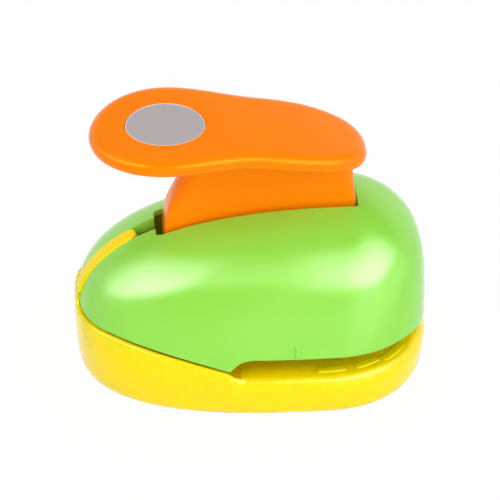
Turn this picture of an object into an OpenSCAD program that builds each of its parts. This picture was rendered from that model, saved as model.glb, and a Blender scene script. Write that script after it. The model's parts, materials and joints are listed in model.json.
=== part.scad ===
// Lever craft punch that cuts a round shape: moulded base, cover and lever over a steel die set.
// The pivot lies towards +X, the lever's large end over -X, and the paper mouths open to both sides.
// The base stands on Z = 0.

/* [Body] */
// Length of the body over the base
body_len = 140; // [120:1:170]
// Width of the body over the base
body_w = 108.6; // [98:0.2:130]
// Station of the widest section, from the middle
widest_x = 25.4; // [15:0.2:32]
// Height of the widest section, where the dome starts
rim_z = 15; // [14:0.1:15.4]
// Rise of the dome above its widest section
dome_h = 53.5; // [52:0.1:60]
// Station of the top of the dome
apex_x = 38.6; // [32:0.2:42]
// How far the cover stands inside the base's outline
cover_inset = 0.5; // [0.2:0.1:1.5]
// Wall of the cover
cover_wall = 2.2; // [1.6:0.1:2.6]
// Plan roundness behind the widest section
plan_rear = 2.6; // [2.4:0.05:3.2]
// Plan roundness ahead of the widest section
plan_front = 2.3; // [2.2:0.05:3]

/* [Parting line] */
// Height of the base's lip, which is also the paper table
lip_z = 15.4; // [14:0.1:16.5]
// Height of the base's rear rim at its highest
rear_rim_z = 27; // [24:0.1:28]
// Station of the highest point of the rear rim
rear_peak_x = -59; // [-62:1:-50]
// Station where the side mouths start
mouth_x = -13; // [-16:0.5:-10]
// Height of the parting line where the side mouths start
mouth_start_z = 19.7; // [18.5:0.1:21]
// Height of the cover's edge over the side mouths
mouth_z = 24.6; // [23.5:0.1:26]
// Height of the cover's edge at the front
front_edge_z = 16.9; // [16.5:0.1:18]
// Open line between cover and base at the rear
part_gap = 0.25; // [0.15:0.05:0.4]

/* [Base] */
// Thickness of the base's deck and of its rear rim
deck_t = 2.5; // [2:0.1:3]
// Rounding of the base's foot
foot_r = 2.6; // [1.5:0.1:3.2]
// Width of the base's standing edge
foot_rim = 3; // [2:0.1:5]
// Rounding of the lip at the mouth
lip_r = 3; // [2:0.1:4]
// Width of the tongue that fills the rear slit
tongue_w = 4.8; // [3.5:0.1:6]
// Station of the tongue's upper end
tongue_end_x = -45.5; // [-52:0.5:-42]
// Height of the paper pads
pad_h = 1; // [0.6:0.1:1.2]
// Depth of the paper pads behind the lip
pad_in = 6.6; // [6:0.1:7.5]
// Width of the paper pads
pad_w = 2.3; // [1.5:0.1:2.6]
// Width of the centre marks
mark_w = 1.9; // [1:0.1:3]

/* [Lever] */
// Station of the lever's pivot
pivot_x = 36; // [35:0.5:38]
// Depth of the lever's pivot below the top of the dome
pivot_drop = 13.5; // [12:0.1:15]
// Diameter of the pivot pin
pivot_d = 6; // [5:0.5:7]
// Travel of the lever in degrees
lever_travel = 14; // [10:0.5:14]
// Thickness of the fin
fin_t = 15; // [12:0.5:16]
// Reach of the fin's rear edge from the pivot
fin_reach = 70.6; // [68:0.1:71.5]
// Front edge of the fin at the height of the slot
fin_front_x = 41.5; // [39.5:0.1:42]
// Room between the fin and the rear end of the slot
slot_rear_gap = 2.9; // [1.2:0.1:3.5]
// Room between the fin and the front end of the slot
slot_front_gap = 0.5; // [0.4:0.1:1.2]
// Width of the slot
slot_w = 18; // [17.5:0.5:20]
// Rear end of the lever's plate
plate_rear_x = -62.6; // [-64:0.2:-58]
// Front end of the lever's plate
plate_front_x = 45.6; // [42:0.2:48]
// Half width of the plate's large end
plate_rear_w = 30; // [25:0.1:33]
// Half width of the plate's waist
plate_waist_w = 23.4; // [18:0.1:26]
// Station of the large end's widest place, which is the middle of the shape disc
disc_x = -32.8; // [-36:0.2:-30]
// Rise of the plate's middle surface at the disc over the top of the dome
plate_rise = 32.3; // [29:0.1:36]
// Thickness of the plate
plate_t = 6.6; // [5:0.1:8]
// Fall of the plate from the disc to its front end
plate_fall = 12; // [9:0.1:16]
// Diameter of the shape disc
disc_d = 31.2; // [24:0.2:36]
// Thickness of the shape disc
disc_t = 0.9; // [0.6:0.1:1.2]

/* [Die set] */
// Diameter of the shape that is cut
die_d = 50; // [44:0.5:51]
// Station of the die's middle
die_x = 14.5; // [13.5:0.5:16]
// Thickness of the die plate
die_t = 4; // [3:0.1:4.5]
// Height of the paper throat between the plates
throat = 1.8; // [1.2:0.1:2]
// Thickness of the guide plate
guide_t = 4; // [3:0.1:4.5]
// Width of the land round the die
die_land = 11.5; // [11.5:0.5:13.5]
// Rear end of the plates
plate_set_rear_x = -26; // [-28:0.5:-24]
// Half width of the plates' rear part
plate_set_rear_w = 32; // [28:0.5:34]
// Half width of the plates' front lug
lug_w = 14; // [13.5:0.5:16]
// Front end of the plates' front lug
lug_front_x = 57; // [56:0.5:58]
// Length of the throat spacer
spacer_len = 12; // [8:0.5:14]

/* [Plunger] */
// Height of the cutter's edge above the throat at rest
cutter_rest = 0.4; // [0.2:0.1:0.8]
// Height of the cutter
cutter_h = 9.6; // [9:0.1:11]
// Hollow of the cutter's underside, which makes it cut in shear
cutter_hollow = 2; // [1:0.1:2.5]
// Thickness of the carrier's flange
flange_t = 4; // [3:0.1:5]
// Thickness of the wear cap
cap_t = 2; // [1.5:0.1:3]
// Radius of the lever's nose
nose_r = 7; // [6:0.1:7.5]

/* [Springs] */
// Distance of the guide posts from the die's middle
post_y = 30.5; // [29.5:0.1:31]
// Diameter of the guide posts
post_d = 5; // [4:0.1:5]
// Wire diameter of the return springs
wire_d = 1; // [0.8:0.05:1.2]
// Curls of each return spring
spring_curls = 6; // [4:1:7]
// Room between the post clips and the cover
post_room = 8; // [5:0.1:10]

/* [Fasteners and fits] */
// Shank diameter of the small screws
screw_d = 3; // [2.5:0.1:3.2]
// Head diameter of the small screws
screw_head_d = 5.6; // [5:0.1:6]
// Head height of the small screws
screw_head_h = 1.8; // [1.4:0.1:2]
// Diameter of the plate rivets
rivet_d = 5; // [4:0.1:6]
// Outer diameter of the cover's screw bosses
boss_d = 7.4; // [6.6:0.1:8]
// Radial room of a running fit
run_fit = 0.05; // [0.02:0.01:0.09]
// Room round a piece that lies in a recess
seat_gap = 0.2; // [0.1:0.05:0.3]

/* [Hidden] */
$fn = 64;

// Colours of the mouldings and metals
green = "#9be85a";
yellow = "#ffe714";
orange = "#ff8300";
grey = "#b0a8a8";
steel = "#c4c8cc";
dark_plastic = "#3a3d42";
nylon = "#f0ede2";

// Dome profile exponents: rear, front and sides
rear_rise = [2.55, 2.5];
front_rise = [5.35, 1.2];
side_rise = [1.1, 2.65];
// Share of the dome's height that the rings cover before the top is closed
dome_top = 0.995;
// Run of the S-curves where the side mouths start, and station where the front edge starts to dip
mouth_ramp = 10.4;
lip_ramp = 6;
front_dip = 20;
front_dip_x = body_len / 2 - front_dip;
// Rounding of the rear rim, thinner than the lip's
rim_r = 0.8;
eps = 0.01;
far = 200;

// Top of the dome, and the levels that follow it
dome_z = rim_z + dome_h;
pivot_z = dome_z - pivot_drop;
plate_z = dome_z + plate_rise;
// Levels of the die set, from the paper table up and down
die_bottom = lip_z - die_t;
guide_bottom = lip_z + throat;
guide_top = guide_bottom + guide_t;
tub_bottom = die_bottom - deck_t;
deck_bottom = lip_z - deck_t;
// Levels of the plunger at rest
cutter_bottom = guide_bottom + cutter_rest;
cutter_top = cutter_bottom + cutter_h;
flange_top = cutter_top + flange_t;
cap_top = pivot_z - nose_r - run_fit;
cap_bottom = cap_top - cap_t;
// Radii of the plunger
die_r = die_d / 2;
cutter_r = die_r - run_fit;
flange_in = 1;
flange_r = die_r - flange_in;
land_r = die_r + die_land;
post_r = post_d / 2;
coil_gap = 0.7;
coil_r = post_r + coil_gap + wire_d / 2;
pocket_r = coil_r + wire_d / 2 + coil_gap;
tower_side = 1;
tower_r = pocket_r + tower_side;
clip_t = 1;
clip_w = 1.6;
clip_gap = 0.3;
groove = 0.6;
post_xy = [[die_x, post_y]];
tower_wall = 3;
post_end = 1.5;
clip_top = dome_height(die_x, post_y + post_r + clip_w, cover_wall) - post_room;
tower_top = clip_top - clip_t - clip_gap;
pocket_top = tower_top - tower_wall;
post_top = clip_top + post_end;
// Pivot stack, from the fin outwards
ear_t = 3;
washer_t = 2;
washer_gap = 0.05;
ear_in = fin_t / 2 + washer_t;
ear_out = ear_in + ear_t;
pin_end = 1.2;
pin_half = ear_out + clip_gap + clip_t + pin_end;
pivot_r = pivot_d / 2;
boss_wall = 5;
ear_wall = 4;
washer_in = 1;
boss_r = pivot_r + boss_wall;
ear_r = pivot_r + ear_wall;
bracket_gap = 4.5;
lug_edge = 1;
bracket_rear_x = die_x + flange_r + bracket_gap;
bracket_front_x = lug_front_x - lug_edge;
ear_front_in = 2;
ear_front_h = 14;
ear_rear_h = 12;
foot_t = 3;
// Fin outline
fin_below = 4;
fin_bottom = pivot_z - fin_below;
fin_front_round = 3.5;
fin_rear_round = [1.8, 7];
fin_crown = 0.15;
fin_lean = 0.107;
slot_rear_x = pivot_x - fin_reach - slot_rear_gap;
slot_front_x = fin_front_x + slot_front_gap;
slot_corner = 2;
slit_gap = 0.3;
slit_w = tongue_w + 2 * slit_gap;
slit_over = 1;
// Fastener places
screw_r = screw_d / 2;
screw_head_r = screw_head_d / 2;
rivet_r = rivet_d / 2;
cap_screw_d = 4;
cap_screw_r = cap_screw_d / 2;
rear_boss_x = 20;
rear_boss_in = 20.4;
side_boss_gap = 1;
side_boss_in = 12;
side_boss_x = plate_set_rear_x - seat_gap - deck_t - screw_head_r - side_boss_gap;
cover_boss_xy = [
    boss_place(rear_boss_x - body_len / 2, rear_boss_in),
    boss_place(side_boss_x, side_boss_in)
];
front_boss_turn = 41;
front_boss_out = 7.5;
front_boss_r = die_r + front_boss_out;
front_boss_xy = [[die_x + front_boss_r * cos(front_boss_turn), front_boss_r * sin(front_boss_turn)]];
die_screw_turn = 62;
die_screw_out = 6.6;
die_screw_r = die_r + die_screw_out;
die_screw_bite = 2.5;
chip_out = 2.6;
chip_r = die_r + chip_out;
relief = 1;
screw_bite = 10;
pilot_past = 1;
screw_end = 0.5;
rivet_edge = 8;
rivet_y = plate_set_rear_w - rivet_edge;
rivet_x = plate_set_rear_x + spacer_len / 2;
rivet_xy = [for (side = [-1:1]) [rivet_x, side * rivet_y]];
rivet_head_h = 1.5;
carrier_screw_in = 10;
carrier_screw_r = die_r - carrier_screw_in;
carrier_screw_depth = 3;
carrier_screw_bite = 5;
bracket_screw_y = 4.6;
bracket_screw_x = (bracket_rear_x + bracket_front_x) / 2;
bracket_screw_xy = [[bracket_screw_x, bracket_screw_y]];
pad_stations = [[22.8, 33.4], [38.3, 48.3], [50.4, 57.6]];

// Curves of the body

function signed_pow(v, p) = sign(v) * pow(abs(v), p);

// A point of an egg-shaped ring at angle a: c is its widest station, rear and front its reaches
function egg(a, c, rear, front, half_w) =
    let (n = cos(a) > 0 ? plan_front : plan_rear)
    [c + (cos(a) > 0 ? front : rear) * signed_pow(cos(a), 2 / n), half_w * signed_pow(sin(a), 2 / n)];

// The angle whose point on the base's outline lies at station x
function station_angle(x) = x > widest_x
    ? acos(pow((x - widest_x) / (body_len / 2 - widest_x), plan_front / 2))
    : acos(-pow((widest_x - x) / (body_len / 2 + widest_x), plan_rear / 2));

// The base's outline, moved inwards by inset
function base_point(a, inset) =
    egg(a, widest_x, body_len / 2 + widest_x - inset, body_len / 2 - widest_x - inset, body_w / 2 - inset);

// The dome's ring at height z, moved inwards by inset: widest station, reaches and half width
function dome_ring(z, inset) =
    let (t = min(dome_top, max(0, (z - rim_z) / (dome_h - inset))))
    let (reach = body_len / 2 - cover_inset - inset)
    let (x_min = apex_x - (reach + apex_x) * pow(1 - pow(t, rear_rise[0]), 1 / rear_rise[1]))
    let (x_max = apex_x + (reach - apex_x) * pow(1 - pow(t, front_rise[0]), 1 / front_rise[1]))
    let (half_w = (body_w / 2 - cover_inset - inset) * pow(1 - pow(t, side_rise[0]), 1 / side_rise[1]))
    let (c = min(max(widest_x + (apex_x - widest_x) * t, x_min), x_max))
    [c, c - x_min, x_max - c, half_w];

function dome_point(a, z, inset) =
    let (ring = dome_ring(z, inset))
    egg(a, ring[0], ring[1], ring[2], ring[3]);

// The base's wall at height z: upright to the widest section, then along the dome
function wall_point(a, z, inset) = z <= rim_z ? base_point(a, inset) : dome_point(a, z, inset - cover_inset);

// Half width of the dome at a station and height
function dome_width(x, z, inset) =
    let (ring = dome_ring(z, inset))
    let (n = x > ring[0] ? plan_front : plan_rear)
    let (share = abs(x - ring[0]) / (x > ring[0] ? ring[2] : ring[1]))
    share >= 1 ? 0 : ring[3] * pow(1 - pow(share, n), 1 / n);

// Height of the dome over a place, found by halving
function dome_height(x, y, inset) = halve_height(x, y, inset, rim_z, rim_z + (dome_h - inset) * dome_top, 24);

function halve_height(x, y, inset, low, high, steps) =
    let (mid = (low + high) / 2)
    steps == 0 ? mid
    : dome_width(x, mid, inset) > y
    ? halve_height(x, y, inset, mid, high, steps - 1)
    : halve_height(x, y, inset, low, mid, steps - 1);

// A cover boss at a station, as far inside the base's outline as it says
function boss_place(x, inset) = [x, base_point(station_angle(x), 0)[1] - inset];

// The dome's profile at the rear of the middle plane
function rear_profile(z, inset) = dome_point(180, z, inset)[0];

// Height of the parting line behind the mouths
function rear_part(x) =
    rear_rim_z - (rear_rim_z - mouth_start_z) * pow(abs(x - rear_peak_x) / (mouth_x - rear_peak_x), 1.5);

// Height of the base's upper edge at station x
function base_edge(x) = x <= mouth_x ? rear_part(x)
    : lip_z + (mouth_start_z - lip_z) * pow(max(0, 1 - (x - mouth_x) / lip_ramp), 2.5);

// Height of the cover's lower edge at station x
function cover_edge(x) = x <= mouth_x ? rear_part(x) + part_gap
    : x < front_dip_x
    ? mouth_z - (mouth_z - mouth_start_z - part_gap) * pow(max(0, 1 - (x - mouth_x) / mouth_ramp), 3.2)
    : mouth_z - (mouth_z - front_edge_z) * pow((x - front_dip_x) / front_dip, 3);

// Rounding of the base's upper edge at station x
function edge_round(x) =
    rim_r + (lip_r - rim_r) * min(1, max(0, (x - mouth_x) / lip_ramp));

// Columns of the body: even steps, closer together where the mouths start
mouth_angle = station_angle(mouth_x);
ramp_angle = station_angle(mouth_x + mouth_ramp);
front_columns = 16;
ramp_columns = 6;
rear_columns = 12;
half_angles = concat(
    [for (i = [0:front_columns]) i / front_columns * ramp_angle],
    [for (i = [1:ramp_columns]) ramp_angle + i / ramp_columns * (mouth_angle - ramp_angle)],
    [for (i = [1:rear_columns]) mouth_angle + i / rear_columns * (180 - mouth_angle)]
);
body_half = len(half_angles) - 1;
body_angles = concat(half_angles, [for (i = [body_half - 1:-1:1]) 360 - half_angles[i]]);

// Solids from rings of points

// Triangles across a ring whose points lie in mirrored pairs
function cap_faces(base, half, up) = [
    for (k = [0:half - 1])
        let (quad = [k, k + 1, 2 * half - k - 1, k == 0 ? 0 : 2 * half - k])
        let (corners = k == 0 ? [[0, 1, 2 * half - 1]]
            : k == half - 1 ? [[quad[0], quad[1], quad[3]]]
            : [[quad[0], quad[1], quad[2]], [quad[0], quad[2], quad[3]]])
        for (c = corners) [base, base, base] + (up ? [c[2], c[1], c[0]] : c)
];

// A closed solid through rings that run from the lowest to the highest
module ring_solid(rings, half) {
    n = 2 * half;
    rows = len(rings);
    sides = [
        for (i = [0:rows - 2], j = [0:n - 1])
            let (k = (j + 1) % n)
            for (face = [
                [i * n + j, (i + 1) * n + j, (i + 1) * n + k],
                [i * n + j, (i + 1) * n + k, i * n + k]
            ]) face
    ];
    polyhedron(
        [for (ring = rings) each ring],
        concat(sides, cap_faces(0, half, false), cap_faces((rows - 1) * n, half, true))
    );
}

// Both places of a piece that repeats on the two sides
module both_sides() {
    children();
    mirror([0, 1, 0]) children();
}

module at_each(places) {
    for (p = places) translate([p[0], p[1], 0]) children();
}

module upright(r, z0, z1) {
    translate([0, 0, z0]) cylinder(r = r, h = z1 - z0);
}

// A round bar along Y
module cross_bar(r, x, z, y0, y1) {
    translate([x, y1, z]) rotate([90, 0, 0]) cylinder(r = r, h = y1 - y0);
}

// Base

base_foot = [[0, 1], [0.27, 0.48], [0.85, 0.16], [1.9, 0]];
wall_shares = [0.5, 0.75];
edge_turns = [0, 35, 65, 90];

function base_rings() = concat(
    [for (step = base_foot) [
        for (a = body_angles)
            let (p = base_point(a, foot_r * step[1]))
            [p[0], p[1], foot_r * step[0]]
    ]],
    [for (share = wall_shares) [
        for (a = body_angles)
            let (x = base_point(a, 0)[0])
            let (low = foot_r * base_foot[len(base_foot) - 1][0])
            let (z = low + (base_edge(x) - edge_round(x) - low) * share)
            let (p = wall_point(a, z, 0))
            [p[0], p[1], z]
    ]],
    [for (turn = edge_turns) [
        for (a = body_angles)
            let (x = base_point(a, 0)[0])
            let (r = edge_round(x))
            let (z = base_edge(x) - r * (1 - sin(turn)))
            let (p = wall_point(a, z, r * (1 - cos(turn))))
            [p[0], p[1], z]
    ]]
);

module base_plan(inset) {
    polygon([for (a = body_angles) base_point(a, inset)]);
}

// The plates' outline: a round land, a straight rear part and a front lug
module plate_set_plan(grow) {
    translate([die_x, 0]) circle(r = land_r + grow, $fn = 96);
    translate([plate_set_rear_x - grow, -plate_set_rear_w - grow])
        square([die_x - plate_set_rear_x + grow, 2 * (plate_set_rear_w + grow)]);
    translate([die_x, -lug_w - grow]) square([lug_front_x - die_x + grow, 2 * (lug_w + grow)]);
}

// The tongue: a strip of the dome's middle line that closes the rear slit
tongue_t = 2.4;
tongue_steps = 14;
tongue_root = 6;
tongue_low = rear_rim_z - tongue_root;

tongue_high = dome_height(tongue_end_x, 0, 0);

function tongue_ring(i) =
    let (z = tongue_low + (tongue_high - tongue_low) * i / tongue_steps)
    let (ahead = [rear_profile(z + 0.1, 0) - rear_profile(z - 0.1, 0), 0.2])
    let (across = [ahead[1], -ahead[0]] / norm(ahead))
    let (x = rear_profile(z, 0))
    let (half_w = tongue_w / 2)
    [[x + across[0] * tongue_t, half_w, z + across[1] * tongue_t], [x, half_w, z],
     [x, -half_w, z], [x + across[0] * tongue_t, -half_w, z + across[1] * tongue_t]];

module tongue() {
    rings = [for (i = [0:tongue_steps]) tongue_ring(i)];
    round_r = tongue_w / 2;
    intersection() {
        ring_solid(rings, 2);
        linear_extrude(far) {
            translate([tongue_end_x - round_r, 0]) circle(r = round_r);
            translate([-far, -round_r]) square([far + tongue_end_x - round_r, tongue_w]);
        }
    }
}

// Open space above the deck, inside the rear rim
well_steps = 4;
well_top = rear_rim_z + deck_t;

module rear_well() {
    rings = [for (i = [0:well_steps]) [
        for (a = body_angles)
            let (z = lip_z + (well_top - lip_z) * i / well_steps)
            let (p = wall_point(a, z, deck_t))
            [p[0], p[1], z]
    ]];
    intersection() {
        ring_solid(rings, body_half);
        translate([mouth_x + lip_ramp - 0.5 - far, -far, 0]) cube([far, 2 * far, far]);
    }
}

// One paper pad between two stations, along the lip
module paper_pad(stations) {
    turns = [station_angle(stations[1]), station_angle(stations[0])];
    pad_steps = 4;
    angles = [for (i = [0:pad_steps]) turns[0] + (turns[1] - turns[0]) * i / pad_steps];
    translate([0, 0, lip_z - eps])
        linear_extrude(pad_h + eps)
            polygon(concat(
                [for (a = angles) base_point(a, pad_in)],
                [for (i = [pad_steps:-1:0]) base_point(angles[i], pad_in + pad_w)]
            ));
}

mark_proud = 0.4;

// Centre mark that follows the lip's rounding
module base_mark() {
    mark_y = base_point(station_angle(die_x), 0)[1];
    translate([die_x - mark_w / 2, mark_y - lip_r, lip_z - lip_r])
        rotate([0, 90, 0]) cylinder(r = lip_r + mark_proud / 2, h = mark_w);
}

module base_tray() {
    color(yellow) difference() {
        union() {
            difference() {
                ring_solid(base_rings(), body_half);
                rear_well();
            }
            tongue();
            both_sides() {
                for (s = pad_stations) paper_pad(s);
                base_mark();
            }
        }
        // Hollow underside, with the tub that holds the die plate
        difference() {
            translate([0, 0, -1]) linear_extrude(deck_bottom + 1) base_plan(foot_r + foot_rim);
            translate([0, 0, tub_bottom]) linear_extrude(far) plate_set_plan(seat_gap + deck_t);
        }
        // Seat of the die plate and the hole that the cut shapes drop through
        translate([0, 0, die_bottom]) linear_extrude(far) plate_set_plan(seat_gap);
        translate([die_x, 0, 0]) upright(chip_r, -1, far);
        both_sides() {
            at_each(cover_boss_xy) upright(screw_r + seat_gap, 0, far);
            at_each(die_screw_xy()) upright(screw_r + seat_gap, 0, far);
            at_each(front_boss_xy) upright(screw_head_r + seat_gap, 0, far);
        }
    }
}

function die_screw_xy() = [
    for (side = [-1, 1]) [die_x + side * die_screw_r * cos(die_screw_turn), die_screw_r * sin(die_screw_turn)]
];

// Cover

cover_rows = 15;
cover_floor = 6;

function cover_outer_rings() = [
    for (i = [0:cover_rows]) [
        for (a = body_angles)
            let (low = cover_edge(base_point(a, 0)[0]))
            let (high = rim_z + dome_h * dome_top)
            let (z = low + (high - low) * sin(90 * i / cover_rows))
            let (p = dome_point(a, z, 0))
            [p[0], p[1], z]
    ]
];

function cover_inner_rings() = [
    for (i = [0:cover_rows]) [
        for (a = body_angles)
            let (low = i == 0 ? cover_floor : rim_z)
            let (high = rim_z + (dome_h - cover_wall) * dome_top)
            let (z = low + (high - low) * sin(90 * max(0, i - 1) / (cover_rows - 1)))
            let (p = dome_point(a, z, cover_wall))
            [p[0], p[1], z]
    ]
];

module cover_bosses(z0, z1, r) {
    both_sides() {
        at_each(cover_boss_xy) upright(r, max(z0, lip_z), z1);
        at_each(front_boss_xy) upright(r, max(z0, guide_top), z1);
    }
}

boss_join = 3.4;
boss_join_z = mouth_z + boss_join;

// The lever slot with rounded rear corners
module slot_plan() {
    translate([slot_rear_x + slot_corner, 0]) {
        both_sides() translate([0, slot_w / 2 - slot_corner]) circle(r = slot_corner);
        translate([-slot_corner, slot_corner - slot_w / 2]) square([slot_corner, slot_w - 2 * slot_corner]);
        translate([0, -slot_w / 2]) square([slot_front_x - slot_rear_x - slot_corner, slot_w]);
    }
}

mark_h = 5.6;
mark_up = 0.6;

// Raised centre mark on the cover's edge, leaning with the wall
module cover_mark() {
    turn = station_angle(die_x);
    low_y = dome_point(turn, mouth_z, 0)[1];
    high_y = dome_point(turn, mouth_z + mark_h, 0)[1];
    translate([die_x - mark_w / 2, low_y, mouth_z])
        rotate([atan2(low_y - high_y, mark_h), 0, 0])
            translate([0, -cover_wall / 2, mark_up]) cube([mark_w, cover_wall / 2 + mark_proud, mark_h]);
}

module cover_shell() {
    color(green) difference() {
        union() {
            ring_solid(cover_outer_rings(), body_half);
            cover_bosses(0, boss_join_z, boss_d / 2);
            both_sides() cover_mark();
        }
        difference() {
            ring_solid(cover_inner_rings(), body_half);
            cover_bosses(0, far, boss_d / 2);
        }
        translate([0, 0, rim_z]) linear_extrude(far) slot_plan();
        translate([-far + slot_rear_x + slit_over, -slit_w / 2, cover_floor]) cube([far, slit_w, far]);
        both_sides() {
            at_each(cover_boss_xy) upright(screw_r, 0, lip_z + screw_bite + pilot_past);
            at_each(front_boss_xy) upright(screw_r, 0, guide_top + screw_bite + pilot_past);
        }
    }
}

// Lever

plate_front_round = 2.45;
waist_x = 5.6;
plate_end_steps = 9;
plate_waist_steps = 8;

// Half outline of the plate from its front end to its rear end
plate_half = concat(
    [for (i = [0:plate_end_steps])
        let (u = 90 * i / plate_end_steps)
        [waist_x + (plate_front_x - waist_x) * pow(cos(u), 2 / plate_front_round),
         plate_waist_w * pow(sin(u), 2 / plate_front_round)]],
    [for (i = [1:plate_waist_steps])
        let (u = i / plate_waist_steps)
        [waist_x + (disc_x - waist_x) * u,
         (plate_rear_w + plate_waist_w) / 2 - (plate_rear_w - plate_waist_w) / 2 * cos(180 * u)]],
    [for (i = [1:plate_end_steps])
        let (u = 90 + 90 * i / plate_end_steps)
        [disc_x + (disc_x - plate_rear_x) * cos(u), i == plate_end_steps ? 0 : plate_rear_w * sin(u)]]
);
plate_halves = len(plate_half) - 1;
plate_outline = concat(plate_half, [for (i = [plate_halves - 1:-1:1]) [plate_half[i][0], -plate_half[i][1]]]);

// Middle surface of the plate: an arch that is level at the disc
function plate_arch(x) = plate_z - plate_fall * pow((x - disc_x) / (plate_front_x - disc_x), 2);

// The plate's outline moved inwards
function plate_inset(i, d) =
    let (n = len(plate_outline))
    let (along = plate_outline[(i + 1) % n] - plate_outline[(i + n - 1) % n])
    plate_outline[i] + d * [-along[1], along[0]] / norm(along);

// Section of the plate's rim: how far in and how high, as shares of half the thickness
plate_rim = [[1.1, -1], [0.42, -0.86], [0.1, -0.5], [0, -0.05], [0.14, 0.45], [0.55, 0.85], [1.25, 1]];

module lever_plate() {
    half_t = plate_t / 2;
    rings = [for (step = plate_rim) [
        for (i = [0:len(plate_outline) - 1])
            let (p = plate_inset(i, step[0] * half_t))
            [p[0], p[1], plate_arch(p[0]) + step[1] * half_t]
    ]];
    ring_solid(rings, plate_halves);
}

fin_rows = 8;
fin_end_steps = 4;
fin_halves = 2 * fin_end_steps + 3;

// Half plan of the fin, a share of the way up to the plate: rounded ends between the pivot's arc
// and the leaning front edge, the rear end rounder towards the plate
function fin_half(share) =
    let (rear_z = fin_bottom + (plate_z - fin_bottom) * share)
    let (front_z = fin_bottom + (plate_arch(fin_front_x) - fin_bottom) * share)
    let (rear = pivot_x - sqrt(pow(fin_reach, 2) - pow(rear_z - pivot_z, 2)))
    let (front = fin_front_x - fin_lean * (front_z - dome_z))
    let (y = fin_t / 2)
    let (rear_r = min(y, fin_rear_round[0] + (fin_rear_round[1] - fin_rear_round[0]) * share))
    let (front_r = min(y, fin_front_round))
    concat(
        [[front + fin_crown, 0]],
        [for (i = [0:fin_end_steps])
            let (u = 90 * i / fin_end_steps)
            [front - front_r + front_r * cos(u), y - front_r + front_r * sin(u)]],
        [for (i = [0:fin_end_steps])
            let (u = 90 + 90 * i / fin_end_steps)
            [rear + rear_r + rear_r * cos(u), y - rear_r + rear_r * sin(u)]],
        [[rear - fin_crown, 0]]
    );

function fin_ring(row) =
    let (share = row / fin_rows)
    let (half = fin_half(share))
    let (plan = concat(half, [for (i = [fin_halves - 1:-1:1]) [half[i][0], -half[i][1]]]))
    [for (p = plan) [p[0], p[1], fin_bottom + (plate_arch(p[0]) - fin_bottom) * share]];

module lever_fin() {
    ring_solid([for (row = [0:fin_rows]) fin_ring(row)], fin_halves);
}

disc_down = 1.15;
disc_seat_z = plate_z + plate_t / 2 - disc_down;

module lever() {
    color(orange) difference() {
        union() {
            lever_plate();
            lever_fin();
            cross_bar(nose_r, die_x, pivot_z, -fin_t / 2, fin_t / 2);
            cross_bar(boss_r, pivot_x, pivot_z, -fin_t / 2, fin_t / 2);
        }
        cross_bar(pivot_r + run_fit, pivot_x, pivot_z, -fin_t, fin_t);
        translate([disc_x, 0, 0]) upright(disc_d / 2 + seat_gap, disc_seat_z, far);
    }
}

module shape_disc() {
    color(grey) translate([disc_x, 0, 0]) upright(disc_d / 2, disc_seat_z, disc_seat_z + disc_t);
}

// Pivot

module pivot_pin() {
    color(steel) difference() {
        cross_bar(pivot_r, pivot_x, pivot_z, -pin_half, pin_half);
        both_sides() difference() {
            cross_bar(pivot_r + 1, pivot_x, pivot_z, ear_out + clip_gap, ear_out + clip_gap + clip_t);
            cross_bar(pivot_r - groove, pivot_x, pivot_z, 0, pin_half);
        }
    }
}

module pivot_washers() {
    color(nylon) both_sides() difference() {
        cross_bar(boss_r - washer_in, pivot_x, pivot_z, fin_t / 2 + washer_gap, ear_in - washer_gap);
        cross_bar(pivot_r + run_fit, pivot_x, pivot_z, 0, pin_half);
    }
}

// A retaining clip: a ring with an open mouth
module open_ring(r_in, r_out, t) {
    difference() {
        cylinder(r = r_out, h = t);
        translate([0, 0, -1]) cylinder(r = r_in, h = t + 2);
        translate([0, -r_in * 0.7, -1]) cube([r_out + 1, r_in * 1.4, t + 2]);
    }
}

module pin_clips() {
    color(steel) both_sides()
        translate([pivot_x, ear_out + clip_gap + clip_t, pivot_z]) rotate([90, 90, 0])
            open_ring(pivot_r - groove + run_fit, pivot_r + clip_w, clip_t);
}

module bracket_ear() {
    lean = [[bracket_rear_x, guide_top], [bracket_front_x, guide_top],
            [bracket_front_x - ear_front_in, guide_top + ear_front_h],
            [pivot_x + ear_r * cos(40), pivot_z + ear_r * sin(40)],
            [pivot_x - ear_r * cos(25), pivot_z - ear_r * sin(25)], [bracket_rear_x, guide_top + ear_rear_h]];
    translate([0, ear_out, 0]) rotate([90, 0, 0]) linear_extrude(ear_t) difference() {
        union() {
            polygon(lean);
            translate([pivot_x, pivot_z]) circle(r = ear_r);
        }
        translate([pivot_x, pivot_z]) circle(r = pivot_r + run_fit);
    }
}

module pivot_bracket() {
    color(steel) difference() {
        union() {
            both_sides() bracket_ear();
            translate([bracket_rear_x, -ear_out, guide_top])
                cube([bracket_front_x - bracket_rear_x, 2 * ear_out, foot_t]);
        }
        both_sides() at_each(bracket_screw_xy) upright(cap_screw_r + run_fit, 0, far);
    }
}

cap_head_h = 2.4;
cap_head_r = 3.4;
drive_depth = 1.2;

module bracket_screws() {
    color(steel) both_sides() at_each(bracket_screw_xy) difference() {
        union() {
            upright(cap_screw_r, guide_bottom + screw_end, guide_top + foot_t + eps);
            upright(cap_head_r, guide_top + foot_t, guide_top + foot_t + cap_head_h);
        }
        translate([0, 0, guide_top + foot_t + cap_head_h - drive_depth]) cylinder(r = 1.7, h = 2, $fn = 6);
    }
}

// Die set

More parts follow.
